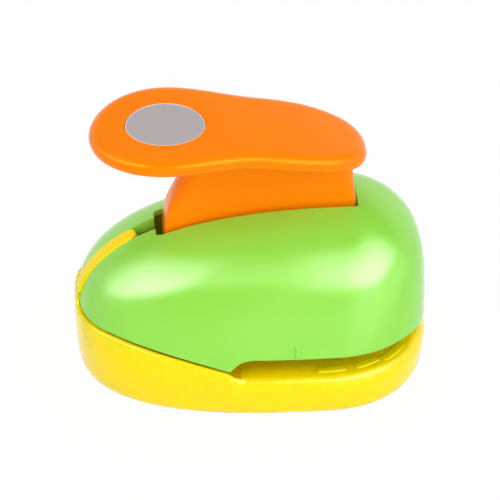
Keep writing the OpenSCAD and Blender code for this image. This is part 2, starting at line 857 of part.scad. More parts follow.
module guide_plate() {
    color(steel) difference() {
        translate([0, 0, guide_bottom]) linear_extrude(guide_t) plate_set_plan(0);
        translate([die_x, 0, 0]) upright(die_r, 0, far);
        both_sides() {
            at_each(post_xy) upright(post_r + run_fit / 2, 0, far);
            at_each(bracket_screw_xy) upright(cap_screw_r + run_fit, 0, far);
            at_each(front_boss_xy) {
                upright(screw_r + run_fit, 0, far);
                upright(screw_head_r + run_fit, 0, guide_bottom + screw_head_h);
            }
        }
        at_each(rivet_xy) upright(rivet_r + run_fit / 2, 0, far);
    }
}

module die_plate() {
    color(steel) difference() {
        translate([0, 0, die_bottom]) linear_extrude(die_t) plate_set_plan(0);
        translate([die_x, 0, 0]) {
            upright(die_r, 0, far);
            upright(chip_r - relief, 0, die_bottom + relief);
        }
        both_sides() {
            at_each(front_boss_xy) upright(screw_head_r + seat_gap, 0, far);
            at_each(die_screw_xy()) upright(screw_r + run_fit, 0, die_bottom + die_screw_bite + screw_end);
        }
        at_each(rivet_xy) upright(rivet_r + run_fit / 2, 0, far);
    }
}

module throat_spacer() {
    color(steel) difference() {
        translate([plate_set_rear_x, -plate_set_rear_w, lip_z])
            cube([spacer_len, 2 * plate_set_rear_w, throat]);
        at_each(rivet_xy) upright(rivet_r + run_fit / 2, 0, far);
    }
}

module plate_rivets() {
    color(steel) at_each(rivet_xy) {
        upright(rivet_r, die_bottom, guide_top + eps);
        upright(rivet_r * 1.6, guide_top, guide_top + rivet_head_h);
    }
}

module guide_posts() {
    color(steel) both_sides() at_each(post_xy) difference() {
        upright(post_r, guide_bottom, post_top);
        difference() {
            upright(post_r + 1, tower_top + clip_gap, tower_top + clip_gap + clip_t);
            upright(post_r - groove, 0, far);
        }
    }
}

module post_clips() {
    color(steel) both_sides() at_each(post_xy)
        translate([0, 0, tower_top + clip_gap]) open_ring(post_r - groove + run_fit, post_r + clip_w, clip_t);
}

// Return springs

coil_rings = 8;
coil_sides = 6;
coil_steps = spring_curls * coil_rings;
coil_clear = 0.05;

// Middle line of the spring: it climbs slowly at both ends and evenly between them
function coil_share(u) = u - 0.35 / spring_curls * sin(360 * u);

function coil_point(i) =
    let (u = i / coil_steps)
    let (low = guide_top + coil_clear + wire_d / 2)
    let (high = pocket_top - coil_clear - wire_d / 2)
    let (turn = 360 * spring_curls * u)
    [coil_r * cos(turn), coil_r * sin(turn), low + (high - low) * coil_share(u)];

coil_line = [for (i = [0:coil_steps]) coil_point(i)];
coil_self_gap = min([
    for (i = [0:coil_steps], j = [i + coil_rings / 2:coil_steps]) norm(coil_line[i] - coil_line[j])
]) - wire_d;
echo(return_spring_least_gap = coil_self_gap);

function coil_ring(i) =
    let (turn = 360 * spring_curls * i / coil_steps)
    let (outward = [cos(turn), sin(turn), 0])
    [for (k = [0:coil_sides - 1])
        let (s = 360 * k / coil_sides)
        coil_line[i] + wire_d / 2 * (cos(s) * outward + sin(s) * [0, 0, 1])];

module coil() {
    points = [for (i = [0:coil_steps]) each coil_ring(i)];
    sides = [
        for (i = [0:coil_steps - 1], k = [0:coil_sides - 1])
            let (a = i * coil_sides + k)
            let (b = i * coil_sides + (k + 1) % coil_sides)
            for (face = [[a, b, b + coil_sides], [a, b + coil_sides, a + coil_sides]]) face
    ];
    ends = [
        for (k = [1:coil_sides - 2])
            for (face = [[0, k + 1, k], [0, k, k + 1] + coil_steps * coil_sides * [1, 1, 1]]) face
    ];
    polyhedron(points, concat(sides, ends));
}

module return_springs() {
    color(steel) both_sides() at_each(post_xy) coil();
}

// Plunger

module carrier_screw_places() {
    translate([die_x, 0, 0])
        for (turn = [0, 120, 240]) rotate(turn) translate([carrier_screw_r, 0, 0]) children();
}

module cutter() {
    hollow_r = (pow(cutter_r, 2) + pow(cutter_hollow, 2)) / (2 * cutter_hollow);
    color(steel) difference() {
        translate([die_x, 0, 0]) upright(cutter_r, cutter_bottom, cutter_top);
        cross_bar(hollow_r, die_x, cutter_bottom + cutter_hollow - hollow_r, -far / 2, far / 2, $fn = 256);
        carrier_screw_places() {
            upright(screw_r + run_fit, 0, far);
            upright(screw_head_r + run_fit, 0, cutter_bottom + cutter_hollow + carrier_screw_depth);
        }
    }
}

column_x = 8;
column_y = 6;
peg_r = 2;
peg_h = 3;
rib_t = 3;

module cutter_carrier() {
    color(dark_plastic) difference() {
        union() {
            translate([die_x, 0, 0]) upright(flange_r, cutter_top, flange_top);
            translate([die_x - tower_r, -post_y, cutter_top]) cube([2 * tower_r, 2 * post_y, flange_t]);
            both_sides() at_each(post_xy) upright(tower_r, cutter_top, tower_top);
            translate([die_x - column_x, -column_y, cutter_top])
                cube([2 * column_x, 2 * column_y, cap_bottom - cutter_top]);
            // Ribs that brace the column
            both_sides() translate([die_x - rib_t / 2, 0, 0]) rotate([90, 0, 90]) linear_extrude(rib_t)
                polygon([[0, flange_top - eps], [post_y - tower_r + 1, flange_top - eps],
                         [column_y, cap_bottom - 2], [0, cap_bottom - 2]]);
        }
        both_sides() at_each(post_xy) {
            upright(pocket_r, 0, pocket_top);
            upright(post_r + run_fit, 0, far);
        }
        carrier_screw_places() upright(screw_r, 0, cutter_top + carrier_screw_bite + pilot_past);
        translate([die_x, 0, 0]) upright(peg_r + run_fit, cap_bottom - peg_h - run_fit, far);
    }
}

module carrier_screws() {
    head_z = cutter_bottom + cutter_hollow + carrier_screw_depth;
    color(steel) carrier_screw_places() {
        upright(screw_head_r, head_z - screw_head_h, head_z);
        upright(screw_r - run_fit, head_z - eps, cutter_top + carrier_screw_bite);
    }
}

module wear_cap() {
    color(steel) {
        translate([die_x - column_x, -column_y, cap_bottom]) cube([2 * column_x, 2 * column_y, cap_t]);
        translate([die_x, 0, 0]) upright(peg_r, cap_bottom - peg_h, cap_bottom + eps);
    }
}

// Screws of the housing

head_drive_w = screw_head_r / 4;
head_drive_depth = screw_head_h * 0.45;

// A pan head screw that points up, with its head under z
module pan_screw(z, reach) {
    difference() {
        union() {
            upright(screw_head_r, z - screw_head_h, z);
            upright(screw_r - run_fit, z - eps, reach);
        }
        for (turn = [0, 90])
            rotate(turn)
                translate([0, 0, z - screw_head_h])
                    cube([screw_head_r * 1.2, head_drive_w, 2 * head_drive_depth], center = true);
    }
}

module die_screws() {
    color(steel) both_sides() at_each(die_screw_xy()) pan_screw(tub_bottom, die_bottom + die_screw_bite);
}

module cover_screws() {
    color(steel) both_sides() at_each(cover_boss_xy) pan_screw(deck_bottom, lip_z + screw_bite);
}

module guide_plate_screws() {
    color(steel) both_sides() at_each(front_boss_xy)
        pan_screw(guide_bottom + screw_head_h, guide_top + screw_bite);
}

base_tray();
cover_shell();
lever();
shape_disc();
pivot_pin();
pivot_washers();
pin_clips();
pivot_bracket();
bracket_screws();
guide_plate();
die_plate();
throat_spacer();
plate_rivets();
guide_posts();
post_clips();
return_springs();
cutter();
cutter_carrier();
carrier_screws();
wear_cap();
die_screws();
cover_screws();
guide_plate_screws();
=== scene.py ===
"""Looks of a lever craft punch: moulded base, cover and lever over a steel die set.

Lengths in the size fields are millimetres, as in the part's source. Meshes are in metres.
"""

import json
import logging
import math
from dataclasses import dataclass
from enum import Enum
from typing import Iterable, Sequence

import bmesh
import bpy
import numpy as np
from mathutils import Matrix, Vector

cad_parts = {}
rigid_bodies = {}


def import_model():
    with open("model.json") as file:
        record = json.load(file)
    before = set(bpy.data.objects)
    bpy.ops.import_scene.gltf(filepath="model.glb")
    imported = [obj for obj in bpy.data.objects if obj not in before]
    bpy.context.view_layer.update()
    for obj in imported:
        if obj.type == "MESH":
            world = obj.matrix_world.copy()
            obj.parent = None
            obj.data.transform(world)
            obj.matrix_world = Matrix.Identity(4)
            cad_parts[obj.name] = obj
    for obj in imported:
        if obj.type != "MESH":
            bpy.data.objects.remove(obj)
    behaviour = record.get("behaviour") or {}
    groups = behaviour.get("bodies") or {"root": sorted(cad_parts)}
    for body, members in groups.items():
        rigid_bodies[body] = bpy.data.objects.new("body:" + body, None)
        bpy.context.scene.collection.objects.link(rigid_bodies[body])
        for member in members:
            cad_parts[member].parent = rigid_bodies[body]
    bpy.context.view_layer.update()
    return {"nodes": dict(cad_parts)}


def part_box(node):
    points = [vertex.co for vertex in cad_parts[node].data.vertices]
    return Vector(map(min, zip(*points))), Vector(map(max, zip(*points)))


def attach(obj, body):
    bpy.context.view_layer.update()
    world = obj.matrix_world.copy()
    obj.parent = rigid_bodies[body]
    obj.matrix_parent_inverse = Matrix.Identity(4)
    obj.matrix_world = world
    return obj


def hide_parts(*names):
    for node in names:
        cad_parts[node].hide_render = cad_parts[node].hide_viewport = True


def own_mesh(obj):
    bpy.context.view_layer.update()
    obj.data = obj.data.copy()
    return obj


log = logging.getLogger("punch")
MM = 0.001
MERGE_M = 2e-6
THIN_M = 1e-7
CREASE = 32.0
Point = tuple[float, float, float]
Colour = tuple[float, float, float]
WHITE: Colour = (1.0, 1.0, 1.0)


def linear(code: str) -> Colour:
    """Turns a hex colour into linear light.

    Args:
        code: Six hex digits.

    Returns:
        Red, green and blue from 0 to 1.
    """
    values = [int(code[i : i + 2], 16) / 255 for i in (0, 2, 4)]
    red, green, blue = (v / 12.92 if v <= 0.04045 else ((v + 0.055) / 1.055) ** 2.4 for v in values)
    return red, green, blue


def ease(share: np.ndarray) -> np.ndarray:
    """Turns a share into a smooth step from 0 to 1."""
    held = np.clip(share, 0, 1)
    return held * held * (3 - 2 * held)


class Body(Enum):
    """The bodies that pieces ride on."""

    BASE = "base"
    LEVER = "lever"
    PLUNGER = "plunger"


class Slot(Enum):
    """Names of the record's material slots."""

    YELLOW = "yellow_plastic"
    GREEN = "green_plastic"
    ORANGE = "orange_plastic"
    GREY = "grey_plastic"
    STEEL = "steel"


class NodeSheet:
    """A node tree with short calls to add nodes and link them."""

    def __init__(self, tree: bpy.types.NodeTree) -> None:
        """Keeps the tree that the calls write to."""
        self.tree = tree

    def add(self, kind: str, **settings: object) -> bpy.types.Node:
        """Adds a node.

        Args:
            kind: Blender's name of the node type.
            settings: Properties of the node to set.

        Returns:
            The new node.
        """
        node = self.tree.nodes.new(kind)
        for name, value in settings.items():
            setattr(node, name, value)
        return node

    def link(self, source: bpy.types.NodeSocket, target: bpy.types.NodeSocket) -> None:
        """Links one socket to another."""
        self.tree.links.new(source, target)

    def feed(self, target: bpy.types.NodeSocket, value: object) -> None:
        """Links a socket to an input, or sets the input to a plain value.

        Args:
            target: The input.
            value: A socket or a plain value.
        """
        if isinstance(value, bpy.types.NodeSocket):
            self.link(value, target)
        else:
            target.default_value = value

    def math(self, operation: str, *values: object) -> bpy.types.NodeSocket:
        """Adds a math node.

        Args:
            operation: Name of the operation.
            values: Numbers or sockets, in the order of the inputs.

        Returns:
            The result's socket.
        """
        node = self.add("ShaderNodeMath", operation=operation)
        for target, value in zip(node.inputs, values):
            self.feed(target, value)
        return node.outputs[0]

    def noise(self, place: bpy.types.NodeSocket, scale: float, detail: float) -> bpy.types.NodeSocket:
        """Adds a noise texture.

        Args:
            place: Coordinates that it follows.
            scale: Its scale.
            detail: Its detail.

        Returns:
            The noise's level.
        """
        node = self.add("ShaderNodeTexNoise")
        node.inputs["Scale"].default_value = scale
        node.inputs["Detail"].default_value = detail
        self.link(place, node.inputs["Vector"])
        return node.outputs["Fac"]

    def blend(self, share: bpy.types.NodeSocket, first: Colour, second: Colour) -> bpy.types.NodeSocket:
        """Mixes two colours.

        Args:
            share: Share of the second colour.
            first: Colour at 0.
            second: Colour at 1.

        Returns:
            The mixed colour.
        """
        node = self.add("ShaderNodeMix", data_type="RGBA")
        self.link(share, node.inputs["Factor"])
        node.inputs["A"].default_value = (*first, 1)
        node.inputs["B"].default_value = (*second, 1)
        return node.outputs["Result"]

    def relief(self, height: bpy.types.NodeSocket, strength: float, depth: float) -> bpy.types.NodeSocket:
        """Turns a level into a fine relief.

        Args:
            height: The level.
            strength: How strongly it shows.
            depth: Its depth in metres.

        Returns:
            The relief's normal.
        """
        node = self.add("ShaderNodeBump")
        node.inputs["Strength"].default_value = strength
        node.inputs["Distance"].default_value = depth
        self.link(height, node.inputs["Height"])
        return node.outputs["Normal"]


class GrowTree(NodeSheet):
    """A Geometry Nodes tree with named sizes, which ends in plain geometry of one material."""

    def __init__(self, name: str) -> None:
        """Starts a tree that takes geometry and gives geometry.

        Args:
            name: Name of the tree.
        """
        super().__init__(bpy.data.node_groups.new(name, "GeometryNodeTree"))
        face = self.tree.interface
        face.new_socket("Geometry", in_out="INPUT", socket_type="NodeSocketGeometry")
        face.new_socket("Geometry", in_out="OUTPUT", socket_type="NodeSocketGeometry")
        self.enter = self.add("NodeGroupInput")
        self.leave = self.add("NodeGroupOutput")
        self.names: dict[str, str] = {}

    @property
    def source(self) -> bpy.types.NodeSocket:
        """The geometry that the tree is given."""
        return self.enter.outputs[0]

    def size(self, name: str, whole: bool = False) -> bpy.types.NodeSocket:
        """Adds a named input.

        Args:
            name: Name of the size.
            whole: Whether it is a whole number.

        Returns:
            The socket that carries the size in the tree.
        """
        kind = "NodeSocketInt" if whole else "NodeSocketFloat"
        self.names[name] = self.tree.interface.new_socket(name, in_out="INPUT", socket_type=kind).identifier
        return self.enter.outputs[name]

    def form(
        self, kind: str, settings: dict[str, str] | None = None, **values: object
    ) -> bpy.types.NodeSocket:
        """Adds a node and feeds its inputs by name.

        Args:
            kind: Blender's name of the node type.
            settings: Properties of the node to set.
            values: Numbers or sockets for the inputs, with underscores for spaces.

        Returns:
            The node's first output.
        """
        node = self.add(kind, **(settings or {}))
        for name, value in values.items():
            self.feed(node.inputs[name.replace("_", " ")], value)
        return node.outputs[0]

    def moved(self, part: bpy.types.NodeSocket, z: object) -> bpy.types.NodeSocket:
        """Lifts geometry along the z axis."""
        lift = self.form("ShaderNodeCombineXYZ", Z=z)
        return self.form("GeometryNodeTransform", Geometry=part, Translation=lift)

    def merge(
        self,
        operation: str,
        first: Sequence[bpy.types.NodeSocket],
        others: Sequence[bpy.types.NodeSocket],
    ) -> bpy.types.NodeSocket:
        """Joins solids into one, or takes some out of another.

        Args:
            operation: Name of the boolean operation.
            first: The solid that others are taken from, if any.
            others: The solids that are joined or taken out.

        Returns:
            The resulting solid.
        """
        node = self.add("GeometryNodeMeshBoolean", operation=operation, solver="EXACT")
        for part in first:
            self.link(part, node.inputs["Mesh 1"])
        for part in others:
            self.link(part, node.inputs["Mesh 2"])
        return node.outputs[0]

    def close(self, geometry: bpy.types.NodeSocket, material: bpy.types.Material) -> None:
        """Ends the tree in plain geometry with its material.

        Args:
            geometry: What the tree has made.
            material: Its material.
        """
        plain = self.form("GeometryNodeRealizeInstances", Geometry=geometry)
        painted = self.form("GeometryNodeSetMaterial", Geometry=plain, Material=material)
        self.link(painted, self.leave.inputs[0])

    def grow(self, made: bpy.types.Object, sizes: dict[str, float]) -> bpy.types.Object:
        """Runs the tree on an object and leaves a plain mesh.

        Args:
            made: Object whose mesh the tree is given.
            sizes: Values of the named inputs.

        Returns:
            The same object.
        """
        tool = made.modifiers.new(self.tree.name, "NODES")
        tool.node_group = self.tree
        for name, value in sizes.items():
            tool[self.names[name]] = value
        return Workshop.settle(made)


@dataclass(frozen=True)
class PlasticFinish:
    """Moulded plastic: an even colour with a faint cloud, a glossy skin and a fine grain."""

    name: str
    colour: Colour
    cloud: Colour
    roughness: float = 0.2
    grain: float = 0.02
    gloss: float = 0.3
    gloss_tint: Colour = WHITE
    depth: float = 0.0
    depth_reach: Colour = (1.0, 0.3, 0.08)
    depth_scale: float = 0.014
    cloud_scale: float = 38.0
    cloud_detail: float = 3.0
    grain_scale: float = 1400.0
    grain_detail: float = 2.0
    grain_depth: float = 0.0002
    roughness_swing: float = 0.06
    ior: float = 1.5

    def material(self) -> bpy.types.Material:
        """Builds the material.

        Returns:
            The finished material.
        """
        made = bpy.data.materials.new(self.name)
        made.use_nodes = True
        sheet = NodeSheet(made.node_tree)
        shader = made.node_tree.nodes["Principled BSDF"]
        place = sheet.add("ShaderNodeTexCoord").outputs["Object"]
        cloud = sheet.noise(place, self.cloud_scale, self.cloud_detail)
        fine = sheet.noise(place, self.grain_scale, self.grain_detail)
        smoothest = self.roughness - self.roughness_swing / 2
        spread = sheet.math("MULTIPLY_ADD", cloud, self.roughness_swing, smoothest)
        sheet.link(sheet.blend(cloud, self.colour, self.cloud), shader.inputs["Base Color"])
        sheet.link(spread, shader.inputs["Roughness"])
        sheet.link(sheet.relief(fine, self.grain, self.grain_depth), shader.inputs["Normal"])
        shader.inputs["IOR"].default_value = self.ior
        shader.inputs["Specular IOR Level"].default_value = self.gloss
        shader.inputs["Specular Tint"].default_value = (*self.gloss_tint, 1)
        shader.subsurface_method = "BURLEY"
        shader.inputs["Subsurface Weight"].default_value = self.depth
        shader.inputs["Subsurface Radius"].default_value = self.depth_reach
        shader.inputs["Subsurface Scale"].default_value = self.depth_scale
        return made


@dataclass(frozen=True)
class SteelFinish:
    """Ground or drawn steel: fine lines along one axis and a little staining."""

    name: str
    colour: Colour
    stain: Colour
    roughness: float = 0.3
    lines: Point = (40.0, 900.0, 900.0)
    line_scale: float = 4.0
    line_detail: float = 4.0
    line_bump: float = 0.12
    line_depth: float = 0.0001
    stain_scale: float = 60.0
    stain_detail: float = 2.0
    roughness_swing: float = 0.18

    def material(self) -> bpy.types.Material:
        """Builds the material.

        Returns:
            The finished material.
        """
        made = bpy.data.materials.new(self.name)
        made.use_nodes = True
        sheet = NodeSheet(made.node_tree)
        shader = made.node_tree.nodes["Principled BSDF"]
        place = sheet.add("ShaderNodeTexCoord").outputs["Object"]
        mapping = sheet.add("ShaderNodeMapping")
        mapping.inputs["Scale"].default_value = self.lines
        sheet.link(place, mapping.inputs["Vector"])
        drawn = sheet.noise(mapping.outputs["Vector"], self.line_scale, self.line_detail)
        stain = sheet.noise(place, self.stain_scale, self.stain_detail)
        smoothest = self.roughness - self.roughness_swing / 2
        spread = sheet.math("MULTIPLY_ADD", drawn, self.roughness_swing, smoothest)
        sheet.link(sheet.blend(stain, self.colour, self.stain), shader.inputs["Base Color"])
        sheet.link(spread, shader.inputs["Roughness"])
        sheet.link(sheet.relief(drawn, self.line_bump, self.line_depth), shader.inputs["Normal"])
        shader.inputs["Metallic"].default_value = 1.0
        return made


GREEN = PlasticFinish("green_moulding", linear("8edb46"), linear("93df4b"), 0.18, gloss=0.55, depth=0.1)
YELLOW = PlasticFinish(
    "yellow_moulding",
    linear("fbe000"),
    linear("fee504"),
    gloss=0.5,
    gloss_tint=(1.0, 1.0, 0.5),
    depth=1.0,
)
YELLOW_TRIM = PlasticFinish("yellow_trim", linear("fde200"), linear("ffe704"), 0.3, gloss=0.12)
ORANGE = PlasticFinish(
    "orange_moulding",
    linear("ff8000"),
    linear("ff8502"),
    0.2,
    gloss=0.32,
    gloss_tint=(1.0, 0.85, 0.1),
)
# Painted highlight: the pale colour of the disc's raised edge stands in for light catching that edge.
EDGE_HIGHLIGHT_PAINT = PlasticFinish("disc_edge_painted_highlight", linear("ecd0c2"), linear("f2d8cb"), 0.3)
GREY = PlasticFinish("grey_disc", linear("aca4a5"), linear("b1a9aa"), 0.36, 0.03)
BLACK = PlasticFinish("dark_moulding", linear("26282b"), linear("303236"), 0.45, 0.05)
NYLON = PlasticFinish("nylon_washer", linear("e6e2d4"), linear("eeeadf"), 0.45, 0.03)
GROUND = SteelFinish("ground_steel", linear("b9bdc2"), linear("c8ccd0"), 0.30)
PLATED = SteelFinish("plated_steel", linear("c4c6c8"), linear("d4d5d6"), 0.24, (300.0, 300.0, 300.0))
SPRING = SteelFinish("spring_wire", linear("9da2a8"), linear("b0b4b8"), 0.28, (500.0, 500.0, 120.0))
Finish = PlasticFinish | SteelFinish


class Workshop:
    """Turns point grids into pieces and puts them on their bodies."""

    def __init__(self) -> None:
        """Starts with no materials made."""
        self.materials: dict[str, bpy.types.Material] = {}

    def finish(self, kind: Finish) -> bpy.types.Material:
        """Gives a finish's material, made once.

        Args:
            kind: The finish.

        Returns:
            Its material.
        """
        if kind.name not in self.materials:
            self.materials[kind.name] = kind.material()
        return self.materials[kind.name]

    def piece(
        self,
        name: str,
        points: np.ndarray,
        faces: Sequence[Sequence[int]],
        kind: Finish,
        angle: float = CREASE,
    ) -> bpy.types.Object:
        """Makes a closed piece from points and faces.

        Args:
            name: Name of the piece.
            points: Rows of x, y and z in millimetres.
            faces: Corner numbers of each face.
            kind: Finish of the piece.
            angle: Edges sharper than this many degrees stay sharp.

        Returns:
            The new object, at the origin.
        """
        mesh = bpy.data.meshes.new(name)
        mesh.from_pydata((np.asarray(points, float) * MM).tolist(), [], [list(f) for f in faces])
        form = bmesh.new()
        form.from_mesh(mesh)
        bmesh.ops.remove_doubles(form, verts=form.verts, dist=MERGE_M)
        bmesh.ops.dissolve_degenerate(form, edges=form.edges, dist=THIN_M)
        bmesh.ops.recalc_face_normals(form, faces=form.faces)
        form.to_mesh(mesh)
        form.free()
        made = bpy.data.objects.new(name, mesh)
        bpy.context.collection.objects.link(made)
        mesh.materials.append(self.finish(kind))
        self.shade(made, angle)
        return made

    def stack(
        self,
        name: str,
        rows: Sequence[np.ndarray],
        kind: Finish,
        angle: float = CREASE,
        paired: bool = False,
    ) -> bpy.types.Object:
        """Makes a solid from a run of closed sections.

        Args:
            name: Name of the piece.
            rows: Points of each section in millimetres.
            kind: Finish of the piece.
            angle: Edges sharper than this many degrees stay sharp.
            paired: Whether points lie in mirrored pairs, so that strips across them close the ends.

        Returns:
            The new object, at the origin.
        """
        count = len(rows[0])
        faces: list[tuple[int, ...]] = list(loft(len(rows), count, False, True))
        for first in (0, (len(rows) - 1) * count):
            faces += ring_cap(first, count // 2) if paired else [tuple(range(first, first + count))]
        return self.piece(name, np.concatenate(rows), faces, kind, angle)

    @staticmethod
    def seed(name: str, points: np.ndarray, edges: Sequence[tuple[int, int]] = ()) -> bpy.types.Object:
        """Makes an object of loose points, or of lines between them, for a tree to grow from.

        Args:
            name: Name of the object.
            points: Rows of x, y and z in millimetres.
            edges: Pairs of point numbers to join.

        Returns:
            The new object, at the origin.
        """
        mesh = bpy.data.meshes.new(name)
        mesh.from_pydata((np.asarray(points, float) * MM).tolist(), list(edges), [])
        made = bpy.data.objects.new(name, mesh)
        bpy.context.collection.objects.link(made)
        return made

    @staticmethod
    def shade(made: bpy.types.Object, angle: float) -> None:
        """Smooths a piece's faces.

        Args:
            made: The piece.
            angle: Edges sharper than this many degrees stay sharp.
        """
        mesh = made.data
        mesh.polygons.foreach_set("use_smooth", [True] * len(mesh.polygons))
        mesh.set_sharp_from_angle(angle=math.radians(angle))
        mesh.update()

    @staticmethod
    def settle(made: bpy.types.Object) -> bpy.types.Object:
        """Applies a piece's modifiers and leaves a plain mesh.

        Args:
            made: Object whose modifiers are applied.

        Returns:
            The same object.
        """
        bpy.context.view_layer.update()
        graph = bpy.context.evaluated_depsgraph_get()
        baked = bpy.data.meshes.new_from_object(made.evaluated_get(graph))
        made.modifiers.clear()
        old = made.data
        made.data = baked
        bpy.data.meshes.remove(old)
        return made

    def cut(self, made: bpy.types.Object, cutters: Iterable[bpy.types.Object]) -> bpy.types.Object:
        """Takes the space of other solids out of a piece.

        Args:
            made: The piece.
            cutters: Solids to take out, which are removed afterwards.

        Returns:
            The piece.
        """
        used = list(cutters)
        for cutter in used:
            tool = made.modifiers.new("cut", "BOOLEAN")
            tool.operation = "DIFFERENCE"
            tool.solver = "EXACT"
            tool.object = cutter
        self.settle(made)
        for cutter in used:
            bpy.data.objects.remove(cutter)
        return made

    @staticmethod
    def place(made: bpy.types.Object, body: Body, slot: Slot, *nodes: str) -> None:
        """Puts a piece on its body.

        Args:
            made: The piece.
            body: Body that it rides on.
            slot: Not used.
            nodes: CAD nodes whose place it takes.
        """
        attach(made, body.value)
        if nodes:
            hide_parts(*nodes)
        log.info("%s rides on %s, %d faces", made.name, body.value, len(made.data.polygons))


def loft(rows: int, columns: int, closed_rows: bool, closed_columns: bool) -> list[tuple[int, int, int, int]]:
    """Joins a grid of points with four-sided faces.

    Args:
        rows: Number of rows.
        columns: Points in each row.
        closed_rows: Whether the last row joins the first.
        closed_columns: Whether each row's last point joins its first.

    Returns:
        Corner numbers of the faces.
    """
    return [
        (
            i * columns + j,
            i * columns + (j + 1) % columns,
            (i + 1) % rows * columns + (j + 1) % columns,
            (i + 1) % rows * columns + j,
        )
        for i in range(rows if closed_rows else rows - 1)
        for j in range(columns if closed_columns else columns - 1)
    ]


def raised(plan: np.ndarray, z: np.ndarray | float) -> np.ndarray:
    """Adds heights to plan points."""
    heights = np.broadcast_to(np.asarray(z, float)[..., None], (*plan.shape[:-1], 1))
    return np.concatenate([plan, heights], -1)


def ring_cap(base: int, half: int) -> list[tuple[int, ...]]:
    """Closes a ring whose points lie in mirrored pairs, with strips across it.

    Args:
        base: Number of the ring's first point.
        half: Number of steps from the ring's first end to its other end.

    Returns:
        Corner numbers of the faces.
    """
    strips: list[tuple[int, ...]] = [(base, base + 1, base + 2 * half - 1)]
    for k in range(1, half - 1):
        strips.append((base + k, base + k + 1, base + 2 * half - k - 1, base + 2 * half - k))
    strips.append((base + half - 1, base + half, base + half + 1))
    return strips


